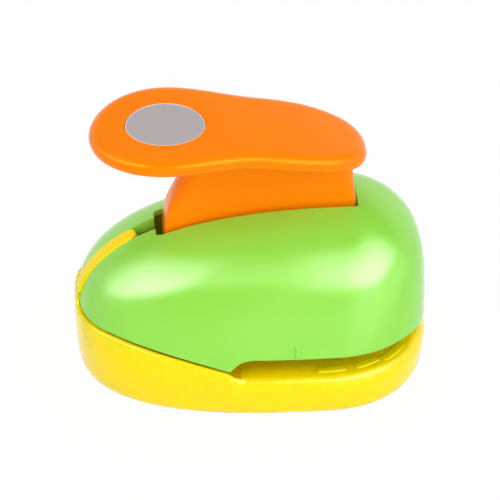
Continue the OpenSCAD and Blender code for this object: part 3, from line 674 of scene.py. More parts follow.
@dataclass
class BodyForm:
    """The rule that the base and the cover share: an egg-shaped plan under a leaning dome."""

    length: float = 140.0
    width: float = 108.6
    widest_x: float = 25.4
    rim_z: float = 15.0
    dome_h: float = 53.5
    apex_x: float = 38.6
    cover_inset: float = 0.5
    plan_rear: float = 2.6
    plan_front: float = 2.3
    rear_rise: tuple[float, float] = (2.55, 2.5)
    front_rise: tuple[float, float] = (5.35, 1.2)
    side_rise: tuple[float, float] = (1.1, 2.65)
    lip_z: float = 16.7
    rear_rim_z: float = 27.0
    rear_peak_x: float = -59.0
    mouth_x: float = -13.0
    mouth_start_z: float = 19.7
    mouth_z: float = 24.6
    front_edge_z: float = 18.6
    front_dip: float = 20.0
    part_gap: float = 0.35
    mouth_ramp: float = 10.4
    lip_ramp: float = 6.0
    lip_r: float = 6.0
    lip_in: float = 4.0
    draft: float = 1.2
    rim_r: float = 1.2
    rim_out: float = 1.1
    groove: float = 1.2
    slit_w: float = 7.6
    slit_spread: float = 1.0
    slit_top_x: float = -45.5
    slit_run: float = 20.0
    flare_r: float = 4.0
    rear_fall: float = 1.5
    lip_fall: float = 2.5
    mouth_rise: float = 3.2
    front_fall: float = 3.0
    rim_cover: float = 0.1
    crown_share: float = 0.9995
    mouth_lead: float = 1.0
    slit_zone: float = 5.0
    slit_steps: int = 24
    slit_crowding: float = 1.3

    def egg(
        self, turn: np.ndarray, middle: np.ndarray, rear: np.ndarray, front: np.ndarray, half_w: np.ndarray
    ) -> np.ndarray:
        """Gives points of an egg-shaped ring.

        Args:
            turn: Angles in radians.
            middle: Station of the widest section.
            rear: Reach behind it.
            front: Reach ahead of it.
            half_w: Half width.

        Returns:
            Pairs of x and y.
        """
        ca, sa = np.cos(turn), np.sin(turn)
        sa = np.where(np.abs(sa) < 1e-9, 0.0, sa)
        power = 2 / np.where(ca > 0, self.plan_front, self.plan_rear)
        x = middle + np.where(ca > 0, front, rear) * np.sign(ca) * np.abs(ca) ** power
        y = half_w * np.sign(sa) * np.abs(sa) ** power
        return np.stack(np.broadcast_arrays(x, y), -1)

    def station(self, x: float) -> float:
        """Gives the angle whose point on the base's outline lies at a station.

        Args:
            x: The station.

        Returns:
            The angle in radians.
        """
        half = self.length / 2
        if x > self.widest_x:
            return math.acos(((x - self.widest_x) / (half - self.widest_x)) ** (self.plan_front / 2))
        return math.acos(-(((self.widest_x - x) / (half + self.widest_x)) ** (self.plan_rear / 2)))

    def outline(self, turn: np.ndarray, inset: np.ndarray | float = 0.0) -> np.ndarray:
        """Gives points of the base's outline.

        Args:
            turn: Angles in radians.
            inset: Distance inside the outline.

        Returns:
            Pairs of x and y.
        """
        half = self.length / 2 - inset
        rear, front = half + self.widest_x, half - self.widest_x
        return self.egg(turn, self.widest_x, rear, front, self.width / 2 - inset)

    def dome(self, turn: np.ndarray, z: np.ndarray, inset: np.ndarray | float = 0.0) -> np.ndarray:
        """Gives points of the dome.

        Args:
            turn: Angles in radians.
            z: Heights.
            inset: Distance inside the outer face.

        Returns:
            Pairs of x and y.
        """
        share = np.clip((z - self.rim_z) / (self.dome_h - inset), 0.0, self.crown_share)
        reach, side = (size / 2 - self.cover_inset - inset for size in (self.length, self.width))
        rises = (self.rear_rise, self.front_rise, self.side_rise)
        rear, front, across = ((1 - share**rise) ** (1 / drop) for rise, drop in rises)
        low = self.apex_x - (reach + self.apex_x) * rear
        high = self.apex_x + (reach - self.apex_x) * front
        middle = np.clip(self.widest_x + (self.apex_x - self.widest_x) * share, low, high)
        return self.egg(turn, middle, middle - low, high - middle, side * across)

    def wall(self, turn: np.ndarray, z: np.ndarray, inset: np.ndarray | float = 0.0) -> np.ndarray:
        """Gives points of the base's wall, upright to the widest section and then along the dome.

        Args:
            turn: Angles in radians.
            z: Heights.
            inset: Distance inside the outer face.

        Returns:
            Rows of x, y and z.
        """
        upright = self.outline(turn, inset)
        leaning = self.dome(turn, z, inset - self.cover_inset)
        plan = np.where((z > self.rim_z)[..., None], leaning, upright)
        return raised(plan, z)

    def slit_half(self, x: np.ndarray) -> np.ndarray:
        """Gives half the rear slit's width, which spreads towards the base."""
        return self.slit_w / 2 + self.slit_spread * np.clip((self.slit_top_x - x) / self.slit_run, 0, 1)

    def rear_profile(self, z: np.ndarray) -> np.ndarray:
        """Gives the dome's rear line in the middle plane."""
        return self.dome(np.full_like(z, math.pi), z)[..., 0]

    def rear_part(self, turn: np.ndarray, x: np.ndarray) -> np.ndarray:
        """Gives the parting line's height behind the mouths, with its flare up to the slit.

        Args:
            turn: Angles in radians.
            x: Stations of the angles.

        Returns:
            Heights.
        """
        share = np.abs(x - self.rear_peak_x) / (self.mouth_x - self.rear_peak_x)
        level = self.rear_rim_z - (self.rear_rim_z - self.mouth_start_z) * share**self.rear_fall
        y = np.abs(self.dome(turn, level)[..., 1])
        near = np.where(x < 0, np.clip(1 - (y - self.slit_half(x)) / self.flare_r, 0, 1), 0)
        return level + self.flare_r * (1 - np.sqrt(1 - near**2))

    def base_edge(self, turn: np.ndarray) -> np.ndarray:
        """Gives the height of the base's upper edge.

        Args:
            turn: Angles in radians.

        Returns:
            Heights.
        """
        x = self.outline(turn)[..., 0]
        fall = np.clip(1 - (x - self.mouth_x) / self.lip_ramp, 0, 1) ** self.lip_fall
        ahead = self.lip_z + (self.mouth_start_z - self.lip_z) * fall
        return np.where(x <= self.mouth_x, self.rear_part(turn, x), ahead)

    def cover_edge(self, turn: np.ndarray) -> np.ndarray:
        """Gives the height of the cover's lower edge.

        Args:
            turn: Angles in radians.

        Returns:
            Heights.
        """
        x = self.outline(turn)[..., 0]
        start = self.mouth_start_z + self.part_gap
        rise = np.clip(1 - (x - self.mouth_x) / self.mouth_ramp, 0, 1) ** self.mouth_rise
        dip = np.clip((x - self.length / 2 + self.front_dip) / self.front_dip, 0, 1) ** self.front_fall
        over = self.mouth_z - (self.mouth_z - start) * rise - (self.mouth_z - self.front_edge_z) * dip
        return np.where(x <= self.mouth_x, self.rear_part(turn, x) + self.part_gap, over)

    def ahead(self, turn: np.ndarray) -> np.ndarray:
        """Gives 0 behind the mouths and 1 along the lip, with the step between them."""
        return np.clip((self.outline(turn)[..., 0] - self.mouth_x) / self.lip_ramp, 0, 1)

    def edge_drop(self, turn: np.ndarray) -> np.ndarray:
        """Gives the height of the rounding at the base's upper edge."""
        return self.rim_r + (self.lip_r - self.rim_r) * self.ahead(turn)

    def edge_plan(self, turn: np.ndarray) -> np.ndarray:
        """Gives where the rounding of the base's upper edge ends, at the cover's skin or on the lip.

        Args:
            turn: Angles in radians.

        Returns:
            Pairs of x and y.
        """
        share = self.ahead(turn)[..., None]
        by_cover = self.dome(turn, self.base_edge(turn), -self.rim_cover)
        return by_cover * (1 - share) + self.outline(turn, self.lip_in) * share

    def skirt(self, turn: np.ndarray, z: np.ndarray, top: np.ndarray) -> np.ndarray:
        """Gives the base's outer face: drafted up to the widest section, then leaning with the dome.

        Args:
            turn: Angles in radians.
            z: Heights at the angles.
            top: Heights at which the face ends.

        Returns:
            Rows of x, y and z.
        """
        share = np.clip((z - self.rim_z) / np.maximum(top - self.rim_z, 0.1), 0, 1)
        upright = self.outline(turn, self.draft * np.clip(1 - z / self.rim_z, 0, 1))
        leaning = self.dome(turn, z, -self.cover_inset - (self.rim_out - self.cover_inset) * share)
        plan = np.where((z > self.rim_z)[:, None], leaning, upright)
        return raised(plan, z)

    def half_turns(self, steps: int, ramp_steps: int) -> np.ndarray:
        """Gives angles from the front end to the rear end, closer together where the mouths start.

        Args:
            steps: Number of steps of a half.
            ramp_steps: Number of steps where the mouths start.

        Returns:
            Angles in radians.
        """
        first = self.station(self.mouth_x + self.mouth_ramp)
        last = self.station(self.mouth_x - self.mouth_lead)
        ahead = max(2, round(steps * first / math.pi))
        behind = max(2, steps - ahead)
        return np.concatenate(
            [
                np.linspace(0, first, ahead, endpoint=False),
                np.linspace(first, last, ramp_steps, endpoint=False),
                np.linspace(last, math.pi, behind + 1),
            ]
        )

    def full_turns(self, steps: int, ramp_steps: int) -> np.ndarray:
        """Gives angles all the way round, in mirrored pairs and close together at the slit.

        Args:
            steps: Number of steps of a half.
            ramp_steps: Number of steps where the mouths start.

        Returns:
            Angles in radians.
        """
        half = self.half_turns(steps, ramp_steps)
        shares = np.linspace(1, 0, self.slit_steps) ** self.slit_crowding
        rear = math.pi - math.radians(self.slit_zone) * shares
        half = np.concatenate([half[half < rear[0]], rear])
        return np.concatenate([half, 2 * math.pi - half[-2:0:-1]])


@dataclass(frozen=True)
class RibShape:
    """Sizes of a rib: its section, the run of its ends and the share of the section left at them."""

    width: float
    proud: float
    corner: float
    end_run: float
    end_share: float


@dataclass
class RibMaker:
    """Grows rounded ribs along lines, for the paper pads and the centre marks."""

    shop: Workshop
    samples: int = 30
    corner_steps: int = 4
    crease: float = 40.0

    def tree(self, kind: Finish) -> GrowTree:
        """Builds the tree of a rib with eased ends.

        Args:
            kind: Finish of the ribs.

        Returns:
            The tree, whose named inputs are in metres.
        """
        tree = GrowTree("rib_along_line")
        width, height, corner = tree.size("Width"), tree.size("Height"), tree.size("Corner")
        end_run, end_share = tree.size("Ease"), tree.size("End Share")
        line = tree.form("GeometryNodeMeshToCurve", Mesh=tree.source)
        line = tree.form("GeometryNodeResampleCurve", Curve=line, Count=self.samples)
        line = tree.form("GeometryNodeSetCurveNormal", {"mode": "Z_UP"}, Curve=line)
        section = tree.form("GeometryNodeCurvePrimitiveQuadrilateral", Width=width, Height=height)
        section = tree.form(
            "GeometryNodeFilletCurve", {"mode": "POLY"}, Curve=section, Radius=corner, Count=self.corner_steps
        )
        along = tree.add("GeometryNodeSplineParameter").outputs["Length"]
        total = tree.add("GeometryNodeSplineLength").outputs["Length"]
        near = tree.math("MINIMUM", along, tree.math("SUBTRACT", total, along))
        grown = tree.form("ShaderNodeMapRange", Value=near, From_Max=end_run, To_Min=end_share)
        rib = tree.form(
            "GeometryNodeCurveToMesh", Curve=line, Profile_Curve=section, Scale=grown, Fill_Caps=True
        )
        tree.close(rib, self.shop.finish(kind))
        return tree

    def ribs(
        self, name: str, lines: Sequence[np.ndarray], kind: Finish, shape: RibShape
    ) -> bpy.types.Object:
        """Grows one rib along each line.

        Args:
            name: Name of the piece.
            lines: Points of each line in millimetres.
            kind: Finish of the ribs.
            shape: Sizes of the ribs.

        Returns:
            The finished piece.
        """
        starts = np.cumsum([0] + [len(line) for line in lines[:-1]])
        edges = [(int(s) + i, int(s) + i + 1) for s, line in zip(starts, lines) for i in range(len(line) - 1)]
        made = self.shop.seed(name, np.concatenate(lines), edges)
        sizes = {"Width": shape.width, "Height": 2 * shape.proud}
        sizes |= {"Corner": shape.corner, "Ease": shape.end_run}
        values = {key: size * MM for key, size in sizes.items()} | {"End Share": shape.end_share}
        self.tree(kind).grow(made, values)
        self.shop.shade(made, self.crease)
        return made


def fillet(
    before: np.ndarray,
    corner: np.ndarray,
    after: np.ndarray,
    radius: float,
    steps: int,
    most: float = 0.45,
) -> list[np.ndarray]:
    """Rounds one corner of many sections at once.

    Args:
        before: Neighbour of the corner on the way in, one row for each section.
        corner: The corner.
        after: Neighbour of the corner on the way out.
        radius: Reach of the rounding along both sides.
        steps: Number of steps of the rounding.
        most: Largest share of a side that the rounding takes.

    Returns:
        Points of the rounding, one array for each step.
    """
    to_before, to_after = before - corner, after - corner
    long_before = np.linalg.norm(to_before, axis=1, keepdims=True) + 1e-9
    long_after = np.linalg.norm(to_after, axis=1, keepdims=True) + 1e-9
    first = corner + to_before * np.minimum(radius / long_before, most)
    last = corner + to_after * np.minimum(radius / long_after, most)
    shares = np.linspace(0, 1, steps + 1)
    return [(1 - s) ** 2 * first + 2 * s * (1 - s) * corner + s**2 * last for s in shares]


@dataclass
class CoverShell:
    """The green cover: a thin dome with the lever's slot, the rear slit and the side mouths."""

    form: BodyForm
    shop: Workshop
    wall: float = 2.2
    slot_rear: float = -37.5
    slot_front: float = 42.0
    slot_w: float = 18.0
    slot_corner: float = 2.0
    lip: float = 0.55
    crease: float = 50.0
    flange_t: float = 1.6
    flange_sunk: float = 1.4
    flange_deep: float = 3.4
    flange_gap: float = 0.02
    flange_overlap: float = 3.0
    flange_rows: int = 20
    flange_crease: float = 40.0
    profile_share: float = 0.95
    profile_steps: int = 400
    rows: int = 44
    row_spread: float = 0.92
    turn_steps: int = 230
    ramp_steps: int = 26
    rear_zone: float = 176.0
    rear_steps: int = 34
    rear_crowding: float = 1.4
    search_from: float = 150.0
    halvings: int = 50
    end_gap: float = 1e-5
    edge_steps: int = 4
    mark_x: float = 14.5
    mark_h: float = 5.6
    mark_gap: float = 0.2
    mark_points: int = 12
    mark: RibShape = RibShape(width=1.9, proud=0.6, corner=0.35, end_run=0.6, end_share=0.5)

    def opening(self, p: np.ndarray) -> np.ndarray:
        """Tells how far plan points lie outside the slot and the slit.

        Args:
            p: Pairs of x and y.

        Returns:
            Distances, below zero inside.
        """
        middle = (self.slot_rear + self.slot_front) / 2
        half = np.array([(self.slot_front - self.slot_rear) / 2, self.slot_w / 2]) - self.slot_corner
        q = np.abs(p - np.array([middle, 0.0])) - half
        slot = np.linalg.norm(np.maximum(q, 0), axis=-1) + np.minimum(q.max(-1), 0) - self.slot_corner
        slit = np.maximum(np.abs(p[..., 1]) - self.form.slit_half(p[..., 0]), p[..., 0] - middle)
        return np.minimum(slot, slit)

    def columns(self) -> np.ndarray:
        """Gives the angles of the sections, from the rear slit round the front and back.

        Returns:
            Angles in radians.
        """
        low, high = math.radians(self.search_from), math.pi
        for _ in range(self.halvings):
            mid = np.array([(low + high) / 2])
            inside = self.opening(self.form.dome(mid, self.form.cover_edge(mid)))[0] < 0
            low, high = (low, float(mid[0])) if inside else (float(mid[0]), high)
        even, zone = self.form.half_turns(self.turn_steps, self.ramp_steps), math.radians(self.rear_zone)
        rear = high - (high - zone) * np.linspace(1, 0, self.rear_steps) ** self.rear_crowding
        half = np.concatenate([even[even < zone], rear[:-1], [low - self.end_gap]])
        return np.concatenate([-half[::-1], half[1:]])

    def wall_rows(self, turns: np.ndarray, inset: float) -> np.ndarray:
        """Gives one face of the wall, from the lower edge to the slot.

        Args:
            turns: Angles of the sections.
            inset: Distance inside the outer face.

        Returns:
            Points by section and row.
        """
        edge = self.form.cover_edge(turns)
        low = edge.copy()
        high = np.full_like(edge, self.form.rim_z + (self.form.dome_h - inset) * self.form.crown_share)
        for _ in range(self.halvings):
            mid = (low + high) / 2
            inside = self.opening(self.form.dome(turns, mid, inset)) < 0
            low, high = np.where(inside, low, mid), np.where(inside, mid, high)
        last = math.pi / 2 * self.row_spread
        shares = np.sin(np.linspace(0, last, self.rows)) / math.sin(last)
        z = edge[:, None] + (low - edge)[:, None] * shares[None, :]
        return raised(self.form.dome(turns[:, None] + 0 * z, z, inset), z)

    def build(self) -> bpy.types.Object:
        """Makes the shell as one run of closed sections.

        Returns:
            The finished piece.
        """
        turns = self.columns()
        outer, inner = self.wall_rows(turns, 0.0), self.wall_rows(turns, self.wall)
        full, half = (self.lip, self.edge_steps), (self.lip / 2, self.edge_steps // 2)
        section: list[np.ndarray] = []
        section += fillet(inner[:, 0], outer[:, 0], outer[:, 1], *full)
        section += [outer[:, i] for i in range(1, self.rows - 1)]
        section += fillet(outer[:, -2], outer[:, -1], inner[:, -1], *full)
        section += fillet(outer[:, -1], inner[:, -1], inner[:, -2], *half)
        section += [inner[:, i] for i in range(self.rows - 2, 0, -1)]
        section += fillet(inner[:, 1], inner[:, 0], outer[:, 0], *half)
        return self.shop.stack("cover_dome", list(np.stack(section, 1)), GREEN, self.crease)

    def flanges(self) -> bpy.types.Object:
        """Makes the two flanges that deepen the slit's sides, from the slot down to the tongue.

        Returns:
            The finished piece.
        """
        z = self.form.rim_z + self.form.dome_h * np.linspace(0, self.profile_share, self.profile_steps)
        x = np.linspace(self.form.slit_top_x - self.flange_overlap, self.slot_rear, self.flange_rows)
        top = np.interp(x, self.form.rear_profile(z), z) - self.flange_sunk
        points: list[np.ndarray] = []
        faces: list[tuple[int, ...]] = []
        for side in (1, -1):
            near, far = (side * (self.form.slit_w / 2 + d) for d in (self.flange_gap, self.flange_t))
            section = [(near, 0.0), (far, 0.0), (far, -self.flange_deep), (near, -self.flange_deep)]
            first = 4 * len(x) * len(points)
            points.append(np.array([(px, y, pz + d) for px, pz in zip(x, top) for y, d in section]))
            faces += [tuple(first + i for i in f) for f in loft(len(x), 4, False, True)]
            ends = (first, first + 4 * (len(x) - 1))
            faces += [tuple(end + i for i in range(4)) for end in ends]
        return self.shop.piece("slit_flanges", np.concatenate(points), faces, GREEN, self.flange_crease)

    def mark_line(self, side: int) -> np.ndarray:
        """Gives the middle line of a centre mark, up the wall on one side.

        Args:
            side: 1 for the far side and -1 for the near side.

        Returns:
            Rows of x, y and z.
        """
        z = self.form.mouth_z + np.linspace(self.mark_gap, self.mark_h, self.mark_points)
        y = self.form.dome(np.full_like(z, self.form.station(self.mark_x)), z)[:, 1]
        return np.stack([np.full_like(z, self.mark_x), side * y, z], 1)

    def dress(self) -> None:
        """Builds the cover and puts it on the base body."""
        self.shop.place(self.build(), Body.BASE, Slot.GREEN, "cover_shell")
        self.shop.place(self.flanges(), Body.BASE, Slot.GREEN)
        lines = [self.mark_line(side) for side in (1, -1)]
        marks = RibMaker(self.shop).ribs("cover_marks", lines, GREEN, self.mark)
        self.shop.place(marks, Body.BASE, Slot.GREEN)


@dataclass
class BaseTray:
    """The yellow base: foot, wall, lip, rear well, tongue and paper pads."""

    form: BodyForm
    shop: Workshop
    deck_t: float = 2.5
    crease: float = 30.0
    foot_r: float = 2.6
    foot_rim: float = 3.0
    die_x: float = 14.5
    die_z: float = 15.4
    die_t: float = 4.0
    seat_gap: float = 0.2
    land_r: float = 36.5
    rear_x: float = -26.0
    rear_w: float = 32.0
    lug_w: float = 14.0
    lug_front: float = 57.0
    chip_r: float = 27.6
    tongue_gap: float = 0.15
    tongue_t: float = 2.4
    tongue_root: float = 3.0
    tongue_edge: float = 0.55
    tongue_edge_share: float = 0.6
    tongue_cut: float = 0.3
    tongue_crown: float = 0.06
    tongue_rows: int = 40
    tongue_end: tuple[float, float] = (0.12, 1.54)
    tongue_end_rows: int = 12
    tongue_crease: float = 55.0
    tongue_lift: tuple[tuple[float, float], ...] = (
        (24.0, 0.8),
        (29.8, 1.05),
        (32.0, 1.0),
        (38.0, 0.5),
        (46.0, 0.25),
    )
    profile_share: float = 0.8
    profile_steps: int = 400
    turn_steps: tuple[int, int] = (200, 40)
    tool_steps: tuple[int, int] = (120, 24)
    tool_low: float = -1.0
    tool_top: float = 40.0
    tool_reach: float = 90.0
    wall_span: tuple[float, float] = (0.15, 0.9)
    wall_rows: int = 6
    rim_steps: int = 10
    groove_in: float = 0.25
    well_over: float = 8.0
    well_rows: int = 6
    well_back: float = 0.5
    plan_steps: int = 90
    chip_steps: int = 128
    pad: RibShape = RibShape(width=3.4, proud=0.5, corner=0.5, end_run=0.8, end_share=0.6)
    pad_points: int = 16
    pads: tuple[tuple[float, float, float], ...] = ((22.1, 35.4, 7.4), (39.8, 51.2, 7.2), (52.0, 61.8, 5.5))
    mark: RibShape = RibShape(width=1.9, proud=0.25, corner=0.35, end_run=0.6, end_share=0.4)
    mark_x: float = 13.3
    mark_span: tuple[float, float] = (12.0, 38.0)
    mark_points: int = 14
    foot_steps: tuple[tuple[float, float], ...] = ((1, 0), (0.6, 0.16), (0.3, 0.45), (0.1, 0.95), (0.0, 1.9))
    screw_holes: tuple[tuple[float, float, float], ...] = (
        (-50.0, 19.8, 1.7),
        (-32.5, 36.05, 1.7),
        (39.03, 21.32, 3.0),
        (29.34, 27.9, 1.7),
        (-0.34, 27.9, 1.7),
    )

    def walls(self) -> bpy.types.Object:
        """Makes the closed outer form of the base.

        Returns:
            The solid, before anything is cut from it.
        """
        turns = self.form.full_turns(*self.turn_steps)
        drop, edge = self.form.edge_drop(turns), self.form.base_edge(turns)
        top, inner = edge - drop, self.form.edge_plan(turns)
        rows: list[np.ndarray] = []
        for inset, up in self.foot_steps:
            draft = self.form.draft * (1 - self.foot_r * up / self.form.rim_z)
            p = self.form.outline(turns, draft + self.foot_r * inset)
            rows.append(raised(p, self.foot_r * up))
        low = self.foot_r * self.foot_steps[-1][1]
        for share in np.linspace(*self.wall_span, self.wall_rows):
            rows.append(self.form.skirt(turns, low + (top - low) * share, top))
        outer = self.form.skirt(turns, top, top)[:, :2]
        for turn in np.linspace(0, math.pi / 2, self.rim_steps):
            p = outer + (inner - outer) * (1 - math.cos(turn))
            rows.append(raised(p, edge - drop * (1 - math.sin(turn))))
        behind = 1 - self.form.ahead(turns)
        sunk = self.form.dome(turns, edge, self.groove_in)
        p = inner * (1 - behind[:, None]) + sunk * behind[:, None]
        rows.append(raised(p, edge - self.form.groove * behind))
        return self.shop.stack("base_walls", rows, YELLOW, paired=True)

    def well(self) -> bpy.types.Object:
        """Makes the space above the deck, inside the rear rim.

        Returns:
            The solid.
        """
        turns = self.form.full_turns(*self.tool_steps)
        levels = np.linspace(self.die_z, self.form.rear_rim_z + self.well_over, self.well_rows)
        rows = [self.form.wall(turns, np.full_like(turns, z), self.deck_t) for z in levels]
        made = self.shop.stack("well", rows, YELLOW, paired=True)
        front, far = self.form.mouth_x + self.form.lip_ramp - self.well_back, self.tool_reach
        plan = np.array([(front, -far), (far, -far), (far, far), (front, far)])
        return self.shop.cut(made, [self.block("well_front", plan, self.tool_low, self.tool_top)])

    def block(self, name: str, plan: np.ndarray, low: float, high: float) -> bpy.types.Object:
        """Makes an upright solid over a plan.

        Args:
            name: Name of the solid.
            plan: Pairs of x and y, in order.
            low: Lower level.
            high: Upper level.

        Returns:
            The solid.
        """
        return self.shop.stack(name, [raised(plan, low), raised(plan, high)], YELLOW)

    def plate_plan(self, grow: float) -> np.ndarray:
        """Gives the die plates' outline, grown on all sides.

        Args:
            grow: Growth on each side.

        Returns:
            Pairs of x and y.
        """
        r, lug, rear = self.land_r + grow, self.lug_w + grow, self.rear_w + grow
        first, last = math.asin(lug / r), math.pi - math.asin(rear / r)
        turns = np.linspace(first, last, self.plan_steps)
        half = [(self.lug_front + grow, lug)]
        half += [(self.die_x + r * math.cos(t), r * math.sin(t)) for t in turns]
        half += [(self.rear_x - grow, rear)]
        return np.array(half + [(px, -py) for px, py in reversed(half)])

    def disc(self, x: float, y: float, r: float, steps: int = 48) -> np.ndarray:
        """Gives the points of a circle."""
        turns = np.linspace(0, 2 * math.pi, steps, endpoint=False)
        return np.stack([x + r * np.cos(turns), y + r * np.sin(turns)], 1)

    def build(self) -> bpy.types.Object:
        """Makes the base with its well, seat, hollow underside and holes.

        Returns:
            The finished piece.
        """
        made = self.walls()
        turns = self.form.full_turns(*self.tool_steps)
        deck, tub = self.die_z, self.die_z - self.die_t - self.deck_t
        low, high = self.tool_low, self.tool_top
        inside = self.form.outline(turns, self.foot_r + self.foot_rim)
        hollow = self.block("hollow", inside, low, deck - self.deck_t)
        self.shop.cut(hollow, [self.block("tub", self.plate_plan(self.seat_gap + self.deck_t), tub, high)])
        cutters = [
            self.well(),
            hollow,
            self.block("seat", self.plate_plan(self.seat_gap), deck - self.die_t, high),
            self.block("chips", self.disc(self.die_x, 0, self.chip_r, self.chip_steps), low, high),
        ]
        for x, y, r in self.screw_holes:
            cutters += [self.block("hole", self.disc(x, side * y, r), low, high) for side in (1, -1)]
        self.shop.cut(made, cutters)
        self.shop.shade(made, self.crease)
        return made

    def build_tongue(self) -> bpy.types.Object:
        """Makes the tongue, which follows the dome's rear line up to a rounded end.

        Returns:
            The finished piece.
        """
        first = self.form.rear_rim_z - self.tongue_root
        last = self.form.rim_z + self.form.dome_h * self.profile_share
        z = np.linspace(first, last, self.profile_steps)
        x = self.form.rear_profile(z)
        run = np.concatenate([[0], np.cumsum(np.hypot(np.diff(x), np.diff(z)))])
        end = float(np.interp(self.form.slit_top_x, x, run))
        half = self.form.slit_w / 2 - self.tongue_gap
        straight = np.linspace(0, end - half, self.tongue_rows)
        rounding = end - half + half * np.sin(np.linspace(*self.tongue_end, self.tongue_end_rows))
        step, least = 0.2, 0.01
        rows: list[np.ndarray] = []
        for s in np.concatenate([straight, rounding]):
            px, pz = float(np.interp(s, run, x)), float(np.interp(s, run, z))
            ahead = np.array([np.interp(s + step, run, x) - px, np.interp(s + step, run, z) - pz])
            ahead /= np.linalg.norm(ahead)
            inward = np.array([ahead[1], -ahead[0]])
            left = max(0.0, s - (end - half))
            spread = float(self.form.slit_half(np.array(px))) - self.form.slit_w / 2
            w = math.sqrt(max(half**2 - left**2, least)) + spread
            proud = float(np.interp(pz, *zip(*self.tongue_lift)))
            edge = min(self.tongue_edge, w * self.tongue_edge_share)
            cut = edge * self.tongue_cut
            section = [(w, self.tongue_t), (w, edge - proud), (w - cut, cut - proud), (w - edge, -proud)]
            section += [(0.0, -proud - self.tongue_crown)] + [(-a, b) for a, b in reversed(section)]
            rows.append(np.array([[px + inward[0] * d, a, pz + inward[1] * d] for a, d in section]))
        return self.shop.stack("base_tongue", rows, YELLOW_TRIM, self.tongue_crease)

    def pad_line(self, first: float, last: float, inset: float, side: int) -> np.ndarray:
        """Gives the middle line of one paper pad, between two stations along the lip.

        Args:
            first: Station of one end.
            last: Station of the other end.
            inset: Distance inside the outline.
            side: 1 for the far side and -1 for the near side.

        Returns:
            Rows of x, y and z.
        """
        turns = np.linspace(self.form.station(first), self.form.station(last), self.pad_points)
        plan = self.form.outline(turns, inset)
        return np.stack([plan[:, 0], side * plan[:, 1], np.full(len(turns), self.form.lip_z)], 1)

    def mark_line(self, side: int) -> np.ndarray:
        """Gives the middle line of a centre mark, over the lip's rounding on one side.

        Args:
            side: 1 for the far side and -1 for the near side.

        Returns:
            Rows of x, y and z.
        """
        turns = np.radians(np.linspace(*self.mark_span, self.mark_points))
        wall = self.form.outline(np.array([self.form.station(self.mark_x)]))[0, 1]
        drop, inner = self.form.lip_r, self.form.lip_in
        y = wall - inner + inner * np.cos(turns)
        z = self.form.lip_z - drop + drop * np.sin(turns)
        return np.stack([np.full_like(y, self.mark_x), side * y, z], 1)

    def dress(self) -> None:
        """Builds the base's pieces and puts them on the base body."""
        self.shop.place(self.build(), Body.BASE, Slot.YELLOW, "base_tray")
        self.shop.place(self.build_tongue(), Body.BASE, Slot.YELLOW)
        maker = RibMaker(self.shop)
        pads = [self.pad_line(*pad, side) for pad in self.pads for side in (1, -1)]
        marks = [self.mark_line(side) for side in (1, -1)]
        self.shop.place(maker.ribs("paper_pads", pads, YELLOW_TRIM, self.pad), Body.BASE, Slot.YELLOW)
        self.shop.place(maker.ribs("base_marks", marks, YELLOW_TRIM, self.mark), Body.BASE, Slot.YELLOW)


